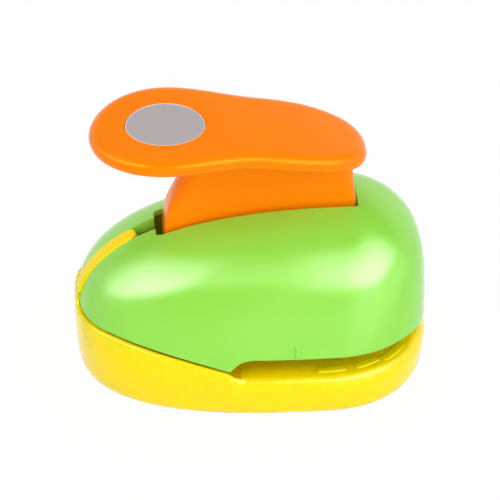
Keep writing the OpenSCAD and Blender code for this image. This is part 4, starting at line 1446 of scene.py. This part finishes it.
@dataclass
class Lever:
    """The orange lever: an arched plate on a thick fin, and the grey disc let into it."""

    shop: Workshop
    plate_rear: float = -62.6
    plate_front: float = 45.6
    rear_w: float = 30.0
    waist_w: float = 23.4
    waist_x: float = 5.6
    front_round: float = 2.45
    disc_x: float = -32.8
    plate_z: float = 100.8
    plate_t: float = 6.6
    plate_fall: float = 12.0
    crease: float = 40.0
    disc_r: float = 15.6
    disc_t: float = 0.9
    edge_w: float = 0.5
    disc_down: float = 1.15
    disc_steps: int = 128
    disc_crease: float = 50.0
    disc_rings: tuple[float, ...] = (0.85, 0.65, 0.4, 0.2, 0.0)
    edge_low: float = 0.05
    edge_high: float = 0.12
    edge_flat: tuple[float, float] = (0.3, 0.7)
    seat_gap: float = 0.2
    seat_over: float = 20.0
    end_steps: int = 50
    waist_steps: int = 42
    pivot_x: float = 36.0
    pivot_z: float = 55.0
    fin_t: float = 15.0
    fin_reach: tuple[float, float] = (70.3, 68.7)
    fin_front: float = 41.5
    fin_lean: float = 0.107
    fin_below: float = 4.0
    fin_rear_round: tuple[float, float] = (1.8, 7.0)
    fin_round_z: tuple[float, float] = (60.0, 82.0)
    fin_front_round: float = 3.5
    fin_crown: float = 0.15
    fin_rows: int = 26
    fin_round_steps: int = 12
    slot_level: float = 68.5
    rim: tuple[tuple[float, float], ...] = (
        (1.3, -1.0),
        (0.75, -0.97),
        (0.42, -0.86),
        (0.2, -0.68),
        (0.06, -0.4),
        (0.0, -0.05),
        (0.06, 0.26),
        (0.2, 0.52),
        (0.42, 0.74),
        (0.72, 0.9),
        (1.05, 0.98),
        (1.5, 1.0),
    )

    def outline(self) -> np.ndarray:
        """Gives the plate's outline, from the front end round the far side.

        Returns:
            Pairs of x and y.
        """
        turn = np.linspace(0, math.pi / 2, self.end_steps)
        power = 2 / self.front_round
        ahead = self.waist_x + (self.plate_front - self.waist_x) * np.cos(turn).clip(0) ** power
        front = np.stack([ahead, self.waist_w * np.sin(turn) ** power], 1)
        share = np.linspace(0, 1, self.waist_steps)[1:]
        swing = (self.rear_w - self.waist_w) / 2 * np.cos(math.pi * share)
        middle = self.waist_x + (self.disc_x - self.waist_x) * share
        waist = np.stack([middle, (self.rear_w + self.waist_w) / 2 - swing], 1)
        turn = np.linspace(math.pi / 2, math.pi, self.end_steps)[1:]
        behind = self.disc_x + (self.disc_x - self.plate_rear) * np.cos(turn)
        rear = np.stack([behind, self.rear_w * np.sin(turn)], 1)
        half = np.concatenate([front, waist, rear])
        half[0, 1] = half[-1, 1] = 0.0
        return np.concatenate([half, half[-2:0:-1] * np.array([1, -1])])

    def arch(self, x: np.ndarray) -> np.ndarray:
        """Gives the height of the plate's middle surface."""
        return self.plate_z - self.plate_fall * ((x - self.disc_x) / (self.plate_front - self.disc_x)) ** 2

    def arched(self, made: bpy.types.Object, kind: Finish, angle: float) -> bpy.types.Object:
        """Lifts a flat piece of the plate and bends it into the plate's arch.

        Args:
            made: The flat piece.
            kind: Finish of the piece.
            angle: Edges sharper than this many degrees stay sharp.

        Returns:
            The same piece.
        """
        sizes = {"Level": self.plate_z, "Fall": self.plate_fall, "Crest": self.disc_x}
        sizes["Span"] = self.plate_front - self.disc_x
        self.arch_tree(kind).grow(made, {name: value * MM for name, value in sizes.items()})
        self.shop.shade(made, angle)
        return made

    def arch_tree(self, kind: Finish) -> GrowTree:
        """Builds the tree that lifts a flat piece and bends it.

        Args:
            kind: Finish of the piece.

        Returns:
            The tree, whose named inputs are in metres.
        """
        tree = GrowTree("arched_plate")
        level, fall, crest, span = (tree.size(name) for name in ("Level", "Fall", "Crest", "Span"))
        place = tree.form("GeometryNodeInputPosition")
        x = tree.form("ShaderNodeSeparateXYZ", Vector=place)
        share = tree.math("DIVIDE", tree.math("SUBTRACT", x, crest), span)
        drop = tree.math("MULTIPLY", tree.math("MULTIPLY", share, share), fall)
        lift = tree.form("ShaderNodeCombineXYZ", Z=tree.math("SUBTRACT", level, drop))
        bent = tree.form("GeometryNodeSetPosition", Geometry=tree.source, Offset=lift)
        tree.close(bent, self.shop.finish(kind))
        return tree

    def build_plate(self) -> bpy.types.Object:
        """Makes the plate with its rounded rim, its arch and the seat of the disc.

        Returns:
            The finished piece.
        """
        plan = self.outline()
        along = np.roll(plan, -1, 0) - np.roll(plan, 1, 0)
        inward = np.stack([-along[:, 1], along[:, 0]], 1)
        inward /= np.linalg.norm(inward, axis=1, keepdims=True)
        half_t = self.plate_t / 2
        rows = [raised(plan + inward * inset * half_t, rise * half_t) for inset, rise in self.rim]
        made = self.shop.stack("lever_plate", rows, ORANGE, paired=True)
        r = self.disc_r + self.seat_gap
        profile = [(0.0, 0.0), (r, 0.0), (r, self.seat_over), (0.0, self.seat_over)]
        seat = self.turned("disc_seat", profile, half_t - self.disc_down, ORANGE)
        return self.arched(self.shop.cut(made, [seat]), ORANGE, self.crease)

    def build_fin(self) -> bpy.types.Object:
        """Makes the fin with its rounded ends.

        Returns:
            The finished piece.
        """
        low = self.pivot_z - self.fin_below
        front_top = float(self.arch(np.array(self.fin_front)))
        turn = np.linspace(0, math.pi / 2, self.fin_round_steps)
        first, last = self.fin_rear_round
        start, end = self.fin_round_z
        y, fr = self.fin_t / 2, self.fin_front_round
        rows: list[np.ndarray] = []
        for share in np.linspace(0, 1, self.fin_rows):
            rear_z = low + (self.plate_z - low) * share
            grown = float(ease(np.array((rear_z - start) / (end - start))))
            reach = self.fin_reach[0] + (self.fin_reach[1] - self.fin_reach[0]) * grown
            rear = self.pivot_x - math.sqrt(reach**2 - (rear_z - self.pivot_z) ** 2)
            front = self.fin_front - self.fin_lean * (low + (front_top - low) * share - self.slot_level)
            rr = first + (last - first) * grown
            ahead = np.stack([front - fr + fr * np.cos(turn), y - fr + fr * np.sin(turn)], 1)
            behind = np.stack([rear + rr - rr * np.sin(turn), y - rr + rr * np.cos(turn)], 1)
            nose, tail = [[front + self.fin_crown, 0]], [[rear - self.fin_crown, 0]]
            half = np.concatenate([nose, ahead, behind, tail])
            plan = np.concatenate([half, half[-2:0:-1] * np.array([1, -1])])
            top = self.arch(plan[:, 0])
            rows.append(raised(plan, low + (top - low) * share))
        return self.shop.stack("lever_fin", rows, ORANGE, self.crease, paired=True)

    def turned(
        self, name: str, profile: Sequence[tuple[float, float]], z: float, kind: Finish
    ) -> bpy.types.Object:
        """Makes a turned form about the disc's axis.

        Args:
            name: Name of the piece.
            profile: Pairs of radius and height, from axis to axis or round a ring.
            z: Level of the profile's zero.
            kind: Finish of the piece.

        Returns:
            The new piece.
        """
        count = self.disc_steps
        turns = np.linspace(0, 2 * math.pi, count, endpoint=False)
        ring, middle = np.stack([np.cos(turns), np.sin(turns)], 1), np.array([self.disc_x, 0.0])
        rows = [raised(middle + r * ring, z + rise) for r, rise in profile]
        faces = loft(len(rows), count, False, True)
        return self.shop.piece(name, np.concatenate(rows), faces, kind, self.disc_crease)

    def build_disc(self) -> bpy.types.Object:
        """Makes the disc inside its raised edge, whose pale colour is a painted highlight.

        Returns:
            The finished piece.
        """
        r, t = self.disc_r - self.edge_w, self.disc_t
        profile = [(0.0, 0.0), (r, 0.0), (r, t)] + [(r * share, t) for share in self.disc_rings]
        made = self.turned("grey_disc", profile, self.plate_t / 2 - self.disc_down, GREY)
        return self.arched(made, GREY, self.disc_crease)

    def build_edge(self) -> bpy.types.Object:
        """Makes the disc's raised edge, painted pale as a highlight of light catching it.

        Returns:
            The finished piece.
        """
        r, w, t = self.disc_r, self.edge_w, self.disc_t
        low, high = t - self.edge_low, t + self.edge_high
        crest = [(r - share * w, high) for share in self.edge_flat]
        profile = [(r, 0.0), (r, low), *crest, (r - w, low), (r - w, 0.0), (r, 0.0)]
        made = self.turned("disc_edge", profile, self.plate_t / 2 - self.disc_down, EDGE_HIGHLIGHT_PAINT)
        return self.arched(made, EDGE_HIGHLIGHT_PAINT, self.disc_crease)

    def dress(self) -> None:
        """Builds the lever's pieces and puts them on the lever body."""
        self.shop.place(self.build_plate(), Body.LEVER, Slot.ORANGE, "lever")
        self.shop.place(self.build_fin(), Body.LEVER, Slot.ORANGE)
        self.shop.place(self.build_disc(), Body.LEVER, Slot.GREY, "shape_disc")
        self.shop.place(self.build_edge(), Body.LEVER, Slot.GREY)


@dataclass
class Fasteners:
    """The screws and rivets: a domed head on a shank, repeated at its places."""

    shop: Workshop
    head_r: float = 2.8
    head_h: float = 1.8
    shank_r: float = 1.45
    drive_w: float = 0.9
    drive_l: float = 3.2
    drive_depth: float = 1.0
    rivet_r: float = 2.5
    rivet_head_r: float = 4.0
    rivet_head_h: float = 1.5
    head_sides: int = 40
    shank_sides: int = 24
    dome_wide: float = 1.35
    dome_tall: float = 1.3
    head_bite: float = 0.6
    crease: float = 35.0
    die_x: float = 14.5
    cover_xy: tuple[tuple[float, float], ...] = ((-50.0, 19.8), (-32.5, 36.05))
    die_xy: tuple[tuple[float, float], ...] = ((29.34, 27.9), (-0.34, 27.9))
    guide_xy: tuple[tuple[float, float], ...] = ((39.03, 21.32),)
    rivet_xy: tuple[tuple[float, float], ...] = ((-20.0, 24.0), (-20.0, 0.0))
    carrier_r: float = 15.0
    carrier_count: int = 3

    def tree(self, name: str, kind: Finish, driven: bool) -> GrowTree:
        """Builds the tree of a headed fastener at each point of its source.

        Args:
            name: Name of the tree.
            kind: Finish of the fastener.
            driven: Whether the head has a cross for a driver.

        Returns:
            The tree, whose named inputs are in metres and radians.
        """
        tree = GrowTree(name)
        head_r, head_h = tree.size("Head Radius"), tree.size("Head Height")
        shank_r, length, turn = tree.size("Shank Radius"), tree.size("Length"), tree.size("Turn")
        sides, twice = self.head_sides, tree.math("MULTIPLY", head_h, 2.0)
        drum = tree.form("GeometryNodeMeshCylinder", Vertices=sides, Radius=head_r, Depth=twice)
        dome = tree.form("GeometryNodeMeshUVSphere", Segments=sides, Rings=sides, Radius=1.0)
        wide = tree.math("MULTIPLY", head_r, self.dome_wide)
        tall = tree.math("MULTIPLY", head_h, self.dome_tall)
        spread = tree.form("ShaderNodeCombineXYZ", X=wide, Y=wide, Z=tall)
        dome = tree.form("GeometryNodeTransform", Geometry=dome, Scale=spread)
        head = tree.merge("INTERSECT", (), (drum, tree.moved(dome, tall)))
        depth = tree.math("SUBTRACT", length, tree.math("MULTIPLY", head_h, self.head_bite))
        shank = tree.form("GeometryNodeMeshCylinder", Vertices=self.shank_sides, Radius=shank_r, Depth=depth)
        middle = tree.math("SUBTRACT", length, tree.math("MULTIPLY", depth, 0.5))
        whole = tree.merge("UNION", (), (head, tree.moved(shank, middle)))
        if driven:
            wide, long, deep = tree.size("Drive Width"), tree.size("Drive Length"), tree.size("Drive Depth")
            deep = tree.math("MULTIPLY", deep, 2.0)
            across = tree.form("ShaderNodeCombineXYZ", X=long, Y=wide, Z=deep)
            along = tree.form("ShaderNodeCombineXYZ", X=wide, Y=long, Z=deep)
            bars = [tree.form("GeometryNodeMeshCube", Size=size) for size in (across, along)]
            whole = tree.merge("DIFFERENCE", (whole,), bars)
        places = tree.form("GeometryNodeMeshToPoints", Mesh=tree.source)
        way = tree.form("ShaderNodeCombineXYZ", X=turn)
        tree.close(
            tree.form("GeometryNodeInstanceOnPoints", Points=places, Instance=whole, Rotation=way),
            self.shop.finish(kind),
        )
        return tree

    def paired(self, places: Sequence[tuple[float, float]]) -> list[tuple[float, float]]:
        """Gives the places and their mirror images, without doubles."""
        return [(x, side * y) for x, y in places for side in ((1, -1) if y else (1,))]

    def screws(self, node: str, places: Sequence[tuple[float, float]], body: Body) -> None:
        """Grows the screws of one node, heads down, between the node's lowest and highest levels.

        Args:
            node: Name of the CAD node that they stand for.
            places: Pairs of x and y.
            body: Body that they ride on.
        """
        low, high = (corner[2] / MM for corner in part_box(node))
        made = self.shop.seed(f"{node}_made", np.array([(x, y, low) for x, y in places]))
        sizes = {"Head Radius": self.head_r, "Head Height": self.head_h, "Shank Radius": self.shank_r}
        sizes |= {"Length": high - low, "Drive Width": self.drive_w}
        sizes |= {"Drive Length": self.drive_l, "Drive Depth": self.drive_depth}
        self.tree(f"{node}_tree", PLATED, True).grow(made, {name: v * MM for name, v in sizes.items()})
        self.shop.shade(made, self.crease)
        self.shop.place(made, body, Slot.STEEL, node)

    def rivets(self) -> None:
        """Grows the rivets of the die set, heads up."""
        low, high = (corner[2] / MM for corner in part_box("plate_rivets"))
        places = np.array([(x, y, high) for x, y in self.paired(self.rivet_xy)])
        made = self.shop.seed("plate_rivets_made", places)
        sizes = {"Head Radius": self.rivet_head_r, "Head Height": self.rivet_head_h}
        sizes |= {"Shank Radius": self.rivet_r, "Length": high - low}
        values = {name: v * MM for name, v in sizes.items()} | {"Turn": math.pi}
        self.tree("plate_rivets_tree", PLATED, False).grow(made, values)
        self.shop.shade(made, self.crease)
        self.shop.place(made, Body.BASE, Slot.STEEL, "plate_rivets")

    def dress(self) -> None:
        """Grows every kind of fastener and puts it on its body."""
        self.screws("cover_screws", self.paired(self.cover_xy), Body.BASE)
        self.screws("die_screws", self.paired(self.die_xy), Body.BASE)
        self.screws("guide_plate_screws", self.paired(self.guide_xy), Body.BASE)
        r, count = self.carrier_r, self.carrier_count
        turns = [2 * math.pi * i / count for i in range(count)]
        places = [(self.die_x + r * math.cos(turn), r * math.sin(turn)) for turn in turns]
        self.screws("carrier_screws", places, Body.PLUNGER)
        self.rivets()


@dataclass
class ReturnSprings:
    """The two wound springs on the guide posts, which shorten as the plunger goes down."""

    shop: Workshop
    x: float = 14.5
    y: float = 30.5
    coil_r: float = 3.7
    wire_d: float = 1.0
    curls: int = 6
    curl_steps: int = 36
    wire_sides: int = 12
    end_share: float = 0.35
    crease: float = 50.0
    stroke: float = 5.3

    def tree(self) -> GrowTree:
        """Builds the tree of a wound wire at each point of its source.

        Returns:
            The tree, whose named inputs are in metres, apart from the number of curls.
        """
        tree = GrowTree("wound_spring")
        coil, wire, height = tree.size("Coil Radius"), tree.size("Wire Radius"), tree.size("Height")
        curls, close_up = tree.size("Curls"), tree.size("Close Up")
        line = tree.form(
            "GeometryNodeCurveSpiral",
            Resolution=self.curl_steps,
            Rotations=curls,
            Start_Radius=coil,
            End_Radius=coil,
            Height=height,
        )
        way = tree.add("GeometryNodeSplineParameter").outputs["Factor"]
        wave = tree.math("SINE", tree.math("MULTIPLY", way, 2 * math.pi))
        down = tree.math("MULTIPLY", wave, tree.math("MULTIPLY", close_up, -1.0))
        shift = tree.form("ShaderNodeCombineXYZ", Z=down)
        line = tree.form("GeometryNodeSetPosition", Geometry=line, Offset=shift)
        section = tree.form("GeometryNodeCurvePrimitiveCircle", Resolution=self.wire_sides, Radius=wire)
        wound = tree.form("GeometryNodeCurveToMesh", Curve=line, Profile_Curve=section, Fill_Caps=True)
        places = tree.form("GeometryNodeMeshToPoints", Mesh=tree.source)
        tree.close(
            tree.form("GeometryNodeInstanceOnPoints", Points=places, Instance=wound), self.shop.finish(SPRING)
        )
        return tree

    def dress(self) -> None:
        """Winds the springs and puts them on the base body."""
        low, high = (corner[2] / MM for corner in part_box("return_springs"))
        half = self.wire_d / 2
        points = np.array([(self.x, side * self.y, low + half) for side in (1, -1)])
        made = self.shop.seed("wound_springs", points)
        height = high - low - self.wire_d
        sizes = {"Coil Radius": self.coil_r, "Wire Radius": half, "Height": height}
        sizes["Close Up"] = height * self.end_share / self.curls
        self.tree().grow(made, {name: v * MM for name, v in sizes.items()} | {"Curls": float(self.curls)})
        self.shop.shade(made, self.crease)
        self.shop.place(made, Body.BASE, Slot.STEEL, "return_springs")
        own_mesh(made)


@dataclass
class DieSet:
    """The steel die set and the small turned parts, which keep their CAD shapes."""

    shop: Workshop
    nodes: dict[str, bpy.types.Object]
    finishes: tuple[tuple[str, Finish], ...] = (
        ("die_plate", GROUND),
        ("guide_plate", GROUND),
        ("throat_spacer", GROUND),
        ("cutter", GROUND),
        ("pivot_bracket", PLATED),
        ("pivot_pin", PLATED),
        ("pin_clips", PLATED),
        ("post_clips", PLATED),
        ("guide_posts", PLATED),
        ("wear_cap", PLATED),
        ("bracket_screws", PLATED),
        ("cutter_carrier", BLACK),
        ("pivot_washers", NYLON),
    )

    def dress(self) -> None:
        """Gives each CAD node its finish."""
        for name, kind in self.finishes:
            held = self.nodes[name].data.materials
            held.clear()
            held.append(self.shop.finish(kind))
            log.info("%s keeps its solid, in %s", name, kind.name)


@dataclass(frozen=True)
class SoftLamp:
    """A soft rectangular lamp that faces the object, without a mirror image of its own.

    Its angles are in degrees, to the right of the camera's side and above the floor. Its size is in metres
    and its power in watts.
    """

    name: str
    side: float
    height: float
    size: tuple[float, float]
    power: float


@dataclass(frozen=True)
class LightPanel:
    """A light panel that the shiny skins mirror, brightest along its lower edge.

    Angles are in degrees. Those to the side count from the camera's side towards the panel's own side.
    """

    side: int
    start: float
    start_run: float
    end: float
    end_run: float
    knee: float
    knee_height: float
    soft: float
    level: float = 1.0
    outer_fall: float = 0.0
    lowest: float = 0.0
    inner_rise: float = 0.0
    highest: float = 90.0
    soft_grow: float = 0.0
    soft_span: tuple[float, float] = (50.0, 100.0)
    top: float = 70.0
    top_run: float = 26.0

    def edge(self, az: np.ndarray) -> np.ndarray:
        """Gives the height of the lower edge, which falls towards the panel's far end.

        Args:
            az: Angles in degrees to the right of the camera's side.

        Returns:
            Heights in degrees.
        """
        past = self.side * az - self.knee
        falling = np.maximum(self.knee_height - self.outer_fall * past, self.lowest)
        rising = np.minimum(self.knee_height - self.inner_rise * past, self.highest)
        return np.where(past > 0, falling, rising)

    def glow(self, az: np.ndarray, el: np.ndarray) -> np.ndarray:
        """Gives how bright the panel is in a direction.

        Args:
            az: Angles in degrees to the right of the camera's side.
            el: Angles in degrees above the floor.

        Returns:
            Shares of the full brightness.
        """
        out = self.side * az
        along = ease((out - self.start) / self.start_run) * (1 - ease((out - self.end) / self.end_run))
        first, last = self.soft_span
        soft = self.soft + self.soft_grow * np.clip(out - first, 0, last - first)
        up = ease((el - self.edge(az)) / soft + 0.5)
        return self.level * along * up * np.clip((self.top - el) / self.top_run, 0, 1)


@dataclass
class Studio:
    """Camera, floor and lights."""

    azimuth: float = -5.0
    elevation: float = 34.0
    distance: float = 1400.0
    lens: float = 254.0
    sensor: float = 36.0
    clip: tuple[float, float] = (0.05, 50.0)
    target: Point = (0.0, 0.0, 45.0)
    aim_down: float = 1.39
    aim_right: float = 0.12
    floor_half: float = 6.0
    floor_drop: float = 0.0004
    floor_grey: float = 0.9
    floor_share: float = 0.96
    world_level: float = 0.34
    ceiling_level: float = 0.06
    ceiling_rise: tuple[float, float] = (0.25, 0.55)
    lamp_distance: float = 1300.0
    lamps: tuple[SoftLamp, ...] = (
        SoftLamp("left_lamp", -62.0, 38.0, (1.0, 0.7), 5.4),
        SoftLamp("right_lamp", 55.0, 36.0, (1.0, 0.7), 6.2),
        SoftLamp("front_lamp", 10.0, 24.0, (1.0, 0.5), 5.0),
        SoftLamp("rear_lamp", 180.0, 52.0, (1.4, 0.8), 6.2),
    )
    panel_level: float = 12.0
    panel_r: float = 3000.0
    panel_az: tuple[float, float, float] = (-150.0, 130.0, 2.0)
    panel_el: tuple[float, float, float] = (-4.0, 80.0, 1.0)
    left_panel: LightPanel = LightPanel(
        side=-1,
        start=20.0,
        start_run=20.0,
        end=58.0,
        end_run=75.0,
        knee=45.0,
        knee_height=39.0,
        soft=4.0,
        outer_fall=0.43,
        lowest=16.0,
        inner_rise=0.5,
        highest=45.0,
        soft_grow=0.25,
    )
    right_panel: LightPanel = LightPanel(
        side=1,
        start=-1.0,
        start_run=14.0,
        end=45.0,
        end_run=70.0,
        knee=3.0,
        knee_height=38.0,
        soft=3.0,
        outer_fall=0.31,
        lowest=25.0,
        inner_rise=0.8,
        highest=44.0,
    )
    bridge: LightPanel = LightPanel(
        side=1,
        start=-35.0,
        start_run=10.0,
        end=-5.0,
        end_run=10.0,
        knee=0.0,
        knee_height=44.0,
        soft=3.0,
        level=0.2,
        top=64.0,
        top_run=14.0,
    )
    wash_level: float = 0.1
    wash_start: tuple[float, float] = (5.0, 25.0)
    wash_end: tuple[float, float] = (80.0, 30.0)
    wash_foot: tuple[float, float] = (-5.0, 10.0)
    wash_soft: float = 6.0

    @staticmethod
    def way(side: float, height: float) -> Vector:
        """Gives the direction at angles to the right of the camera's side and above the floor."""
        a, e = math.radians(side), math.radians(height)
        return Vector((math.sin(a) * math.cos(e), -math.cos(a) * math.cos(e), math.sin(e)))

    def camera(self) -> None:
        """Makes the camera at the photograph's angle."""
        lens = bpy.data.cameras.new("camera")
        lens.sensor_width = self.sensor
        lens.lens = self.lens
        lens.clip_start, lens.clip_end = self.clip
        made = bpy.data.objects.new("camera", lens)
        bpy.context.collection.objects.link(made)
        back = self.way(self.azimuth, self.elevation)
        turn = (-back).to_track_quat("-Z", "Y")
        made.rotation_mode = "QUATERNION"
        made.rotation_quaternion = turn
        shift = turn @ Vector((self.aim_right, -self.aim_down, 0))
        made.location = (Vector(self.target) + back * self.distance + shift) * MM
        bpy.context.scene.camera = made

    @staticmethod
    def seen(sheet: NodeSheet) -> bpy.types.NodeSocket:
        """Gives 1 for rays from the camera, through glass or off a shiny face, and 0 for others.

        Args:
            sheet: Node tree that asks.

        Returns:
            The answer's socket.
        """
        path = sheet.add("ShaderNodeLightPath")
        shown = sheet.math("MAXIMUM", path.outputs["Is Camera Ray"], path.outputs["Is Glossy Ray"])
        return sheet.math("MAXIMUM", shown, path.outputs["Is Transmission Ray"])

    @staticmethod
    def staged(name: str, points: Sequence[Point], faces: Sequence[Sequence[int]]) -> bpy.types.Object:
        """Makes a piece of the stage with an empty material.

        Args:
            name: Name of the piece.
            points: Corners in metres.
            faces: Corner numbers of each face.

        Returns:
            The new object.
        """
        mesh = bpy.data.meshes.new(name)
        mesh.from_pydata(points, [], faces)
        made = bpy.data.objects.new(name, mesh)
        bpy.context.collection.objects.link(made)
        paint = bpy.data.materials.new(f"{name}_paint")
        paint.use_nodes = True
        paint.node_tree.nodes.clear()
        mesh.materials.append(paint)
        return made

    def floor(self) -> None:
        """Makes the pale floor, which shows white and keeps a soft shadow."""
        half = self.floor_half
        corners = [(-half, -half, 0.0), (half, -half, 0.0), (half, half, 0.0), (-half, half, 0.0)]
        made = self.staged("floor", corners, [(0, 1, 2, 3)])
        made.location = (0, 0, -self.floor_drop)
        sheet = NodeSheet(made.data.materials[0].node_tree)
        out = sheet.add("ShaderNodeOutputMaterial")
        matt = sheet.add("ShaderNodeBsdfDiffuse")
        matt.inputs["Color"].default_value = (self.floor_grey, self.floor_grey, self.floor_grey, 1)
        glow = sheet.add("ShaderNodeEmission")
        glow.inputs["Color"].default_value = (*WHITE, 1)
        mix = sheet.add("ShaderNodeMixShader")
        sheet.link(sheet.math("MULTIPLY", self.seen(sheet), self.floor_share), mix.inputs[0])
        sheet.link(matt.outputs[0], mix.inputs[1])
        sheet.link(glow.outputs[0], mix.inputs[2])
        sheet.link(mix.outputs[0], out.inputs["Surface"])

    def hang(self, lamp: SoftLamp) -> None:
        """Hangs a lamp at its angles, facing the object.

        Args:
            lamp: The lamp.
        """
        light = bpy.data.lights.new(lamp.name, "AREA")
        light.shape = "RECTANGLE"
        light.size, light.size_y = lamp.size
        light.energy = lamp.power
        made = bpy.data.objects.new(lamp.name, light)
        bpy.context.collection.objects.link(made)
        out = self.way(lamp.side, lamp.height)
        made.location = (Vector(self.target) + out * self.lamp_distance) * MM
        made.rotation_mode = "QUATERNION"
        made.rotation_quaternion = (-out).to_track_quat("-Z", "Y")
        made.visible_glossy = False

    def wash(self, az: np.ndarray, el: np.ndarray) -> np.ndarray:
        """Gives how bright the faint light below the right panel is in a direction.

        Args:
            az: Angles in degrees to the right of the camera's side.
            el: Angles in degrees above the floor.

        Returns:
            Shares of the full brightness.
        """
        (start, start_run), (end, end_run), (foot, foot_run) = self.wash_start, self.wash_end, self.wash_foot
        along = ease((az - start) / start_run) * (1 - ease((az - end) / end_run))
        below = 1 - ease((el - self.right_panel.edge(az)) / self.wash_soft + 0.5)
        return self.wash_level * along * below * ease((el - foot) / foot_run)

    def panels(self) -> None:
        """Hangs the two light panels and the faint light between and below them."""
        spans = (self.panel_az, self.panel_el)
        az, el = (np.arange(first, last + step, step) for first, last, step in spans)
        wide, high = np.meshgrid(az, el)
        a, e = np.radians(wide), np.radians(high)
        points = np.stack([np.sin(a) * np.cos(e), -np.cos(a) * np.cos(e), np.sin(e)], -1) * self.panel_r * MM
        faces = loft(len(el), len(az), False, False)
        made = self.staged("light_panels", points.reshape(-1, 3).tolist(), faces)
        panels = (self.left_panel, self.right_panel, self.bridge)
        brightest = np.maximum.reduce([panel.glow(wide, high) for panel in panels])
        level = made.data.attributes.new("glow", "FLOAT", "POINT")
        level.data.foreach_set("value", (brightest + self.wash(wide, high)).ravel())
        sheet = NodeSheet(made.data.materials[0].node_tree)
        out = sheet.add("ShaderNodeOutputMaterial")
        shine = sheet.add("ShaderNodeEmission")
        through = sheet.add("ShaderNodeBsdfTransparent")
        both = sheet.add("ShaderNodeAddShader")
        share = sheet.add("ShaderNodeAttribute", attribute_name="glow").outputs["Fac"]
        sheet.link(sheet.math("MULTIPLY", share, self.panel_level), shine.inputs["Strength"])
        sheet.link(shine.outputs[0], both.inputs[0])
        sheet.link(through.outputs[0], both.inputs[1])
        sheet.link(both.outputs[0], out.inputs["Surface"])
        made.visible_camera = made.visible_diffuse = False
        made.visible_shadow = made.visible_transmission = False

    def room(self) -> None:
        """Sets the white room with its dimmer ceiling."""
        world = bpy.data.worlds.new("studio")
        bpy.context.scene.world = world
        world.use_nodes = True
        sheet = NodeSheet(world.node_tree)
        back = world.node_tree.nodes["Background"]
        split = sheet.add("ShaderNodeSeparateXYZ")
        sheet.link(sheet.add("ShaderNodeTexCoord").outputs["Generated"], split.inputs[0])
        shown = sheet.add("ShaderNodeMapRange", interpolation_type="SMOOTHSTEP")
        sheet.link(split.outputs["Z"], shown.inputs["Value"])
        shown.inputs["From Min"].default_value, shown.inputs["From Max"].default_value = self.ceiling_rise
        shown.inputs["To Min"].default_value = 1.0
        shown.inputs["To Max"].default_value = self.ceiling_level
        over = sheet.math("SUBTRACT", shown.outputs[0], self.world_level)
        level = sheet.math("MULTIPLY_ADD", self.seen(sheet), over, self.world_level)
        back.inputs["Color"].default_value = (*WHITE, 1)
        sheet.link(level, back.inputs["Strength"])

    def build(self) -> None:
        """Makes the whole studio."""
        bpy.context.scene.view_settings.view_transform = "Standard"
        self.camera()
        self.floor()
        self.room()
        for lamp in self.lamps:
            self.hang(lamp)
        self.panels()
        log.info("studio ready")


def main() -> None:
    """Builds the punch's pieces in order and reports each one."""
    logging.basicConfig(level=logging.INFO, format="%(name)s: %(message)s")
    for made in list(bpy.data.objects):
        bpy.data.objects.remove(made)
    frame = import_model()
    shop = Workshop()
    form = BodyForm()
    Studio().build()
    DieSet(shop, frame["nodes"]).dress()
    Fasteners(shop).dress()
    ReturnSprings(shop).dress()
    BaseTray(form, shop).dress()
    CoverShell(form, shop).dress()
    Lever(shop).dress()


if __name__ == "__main__":
    main()
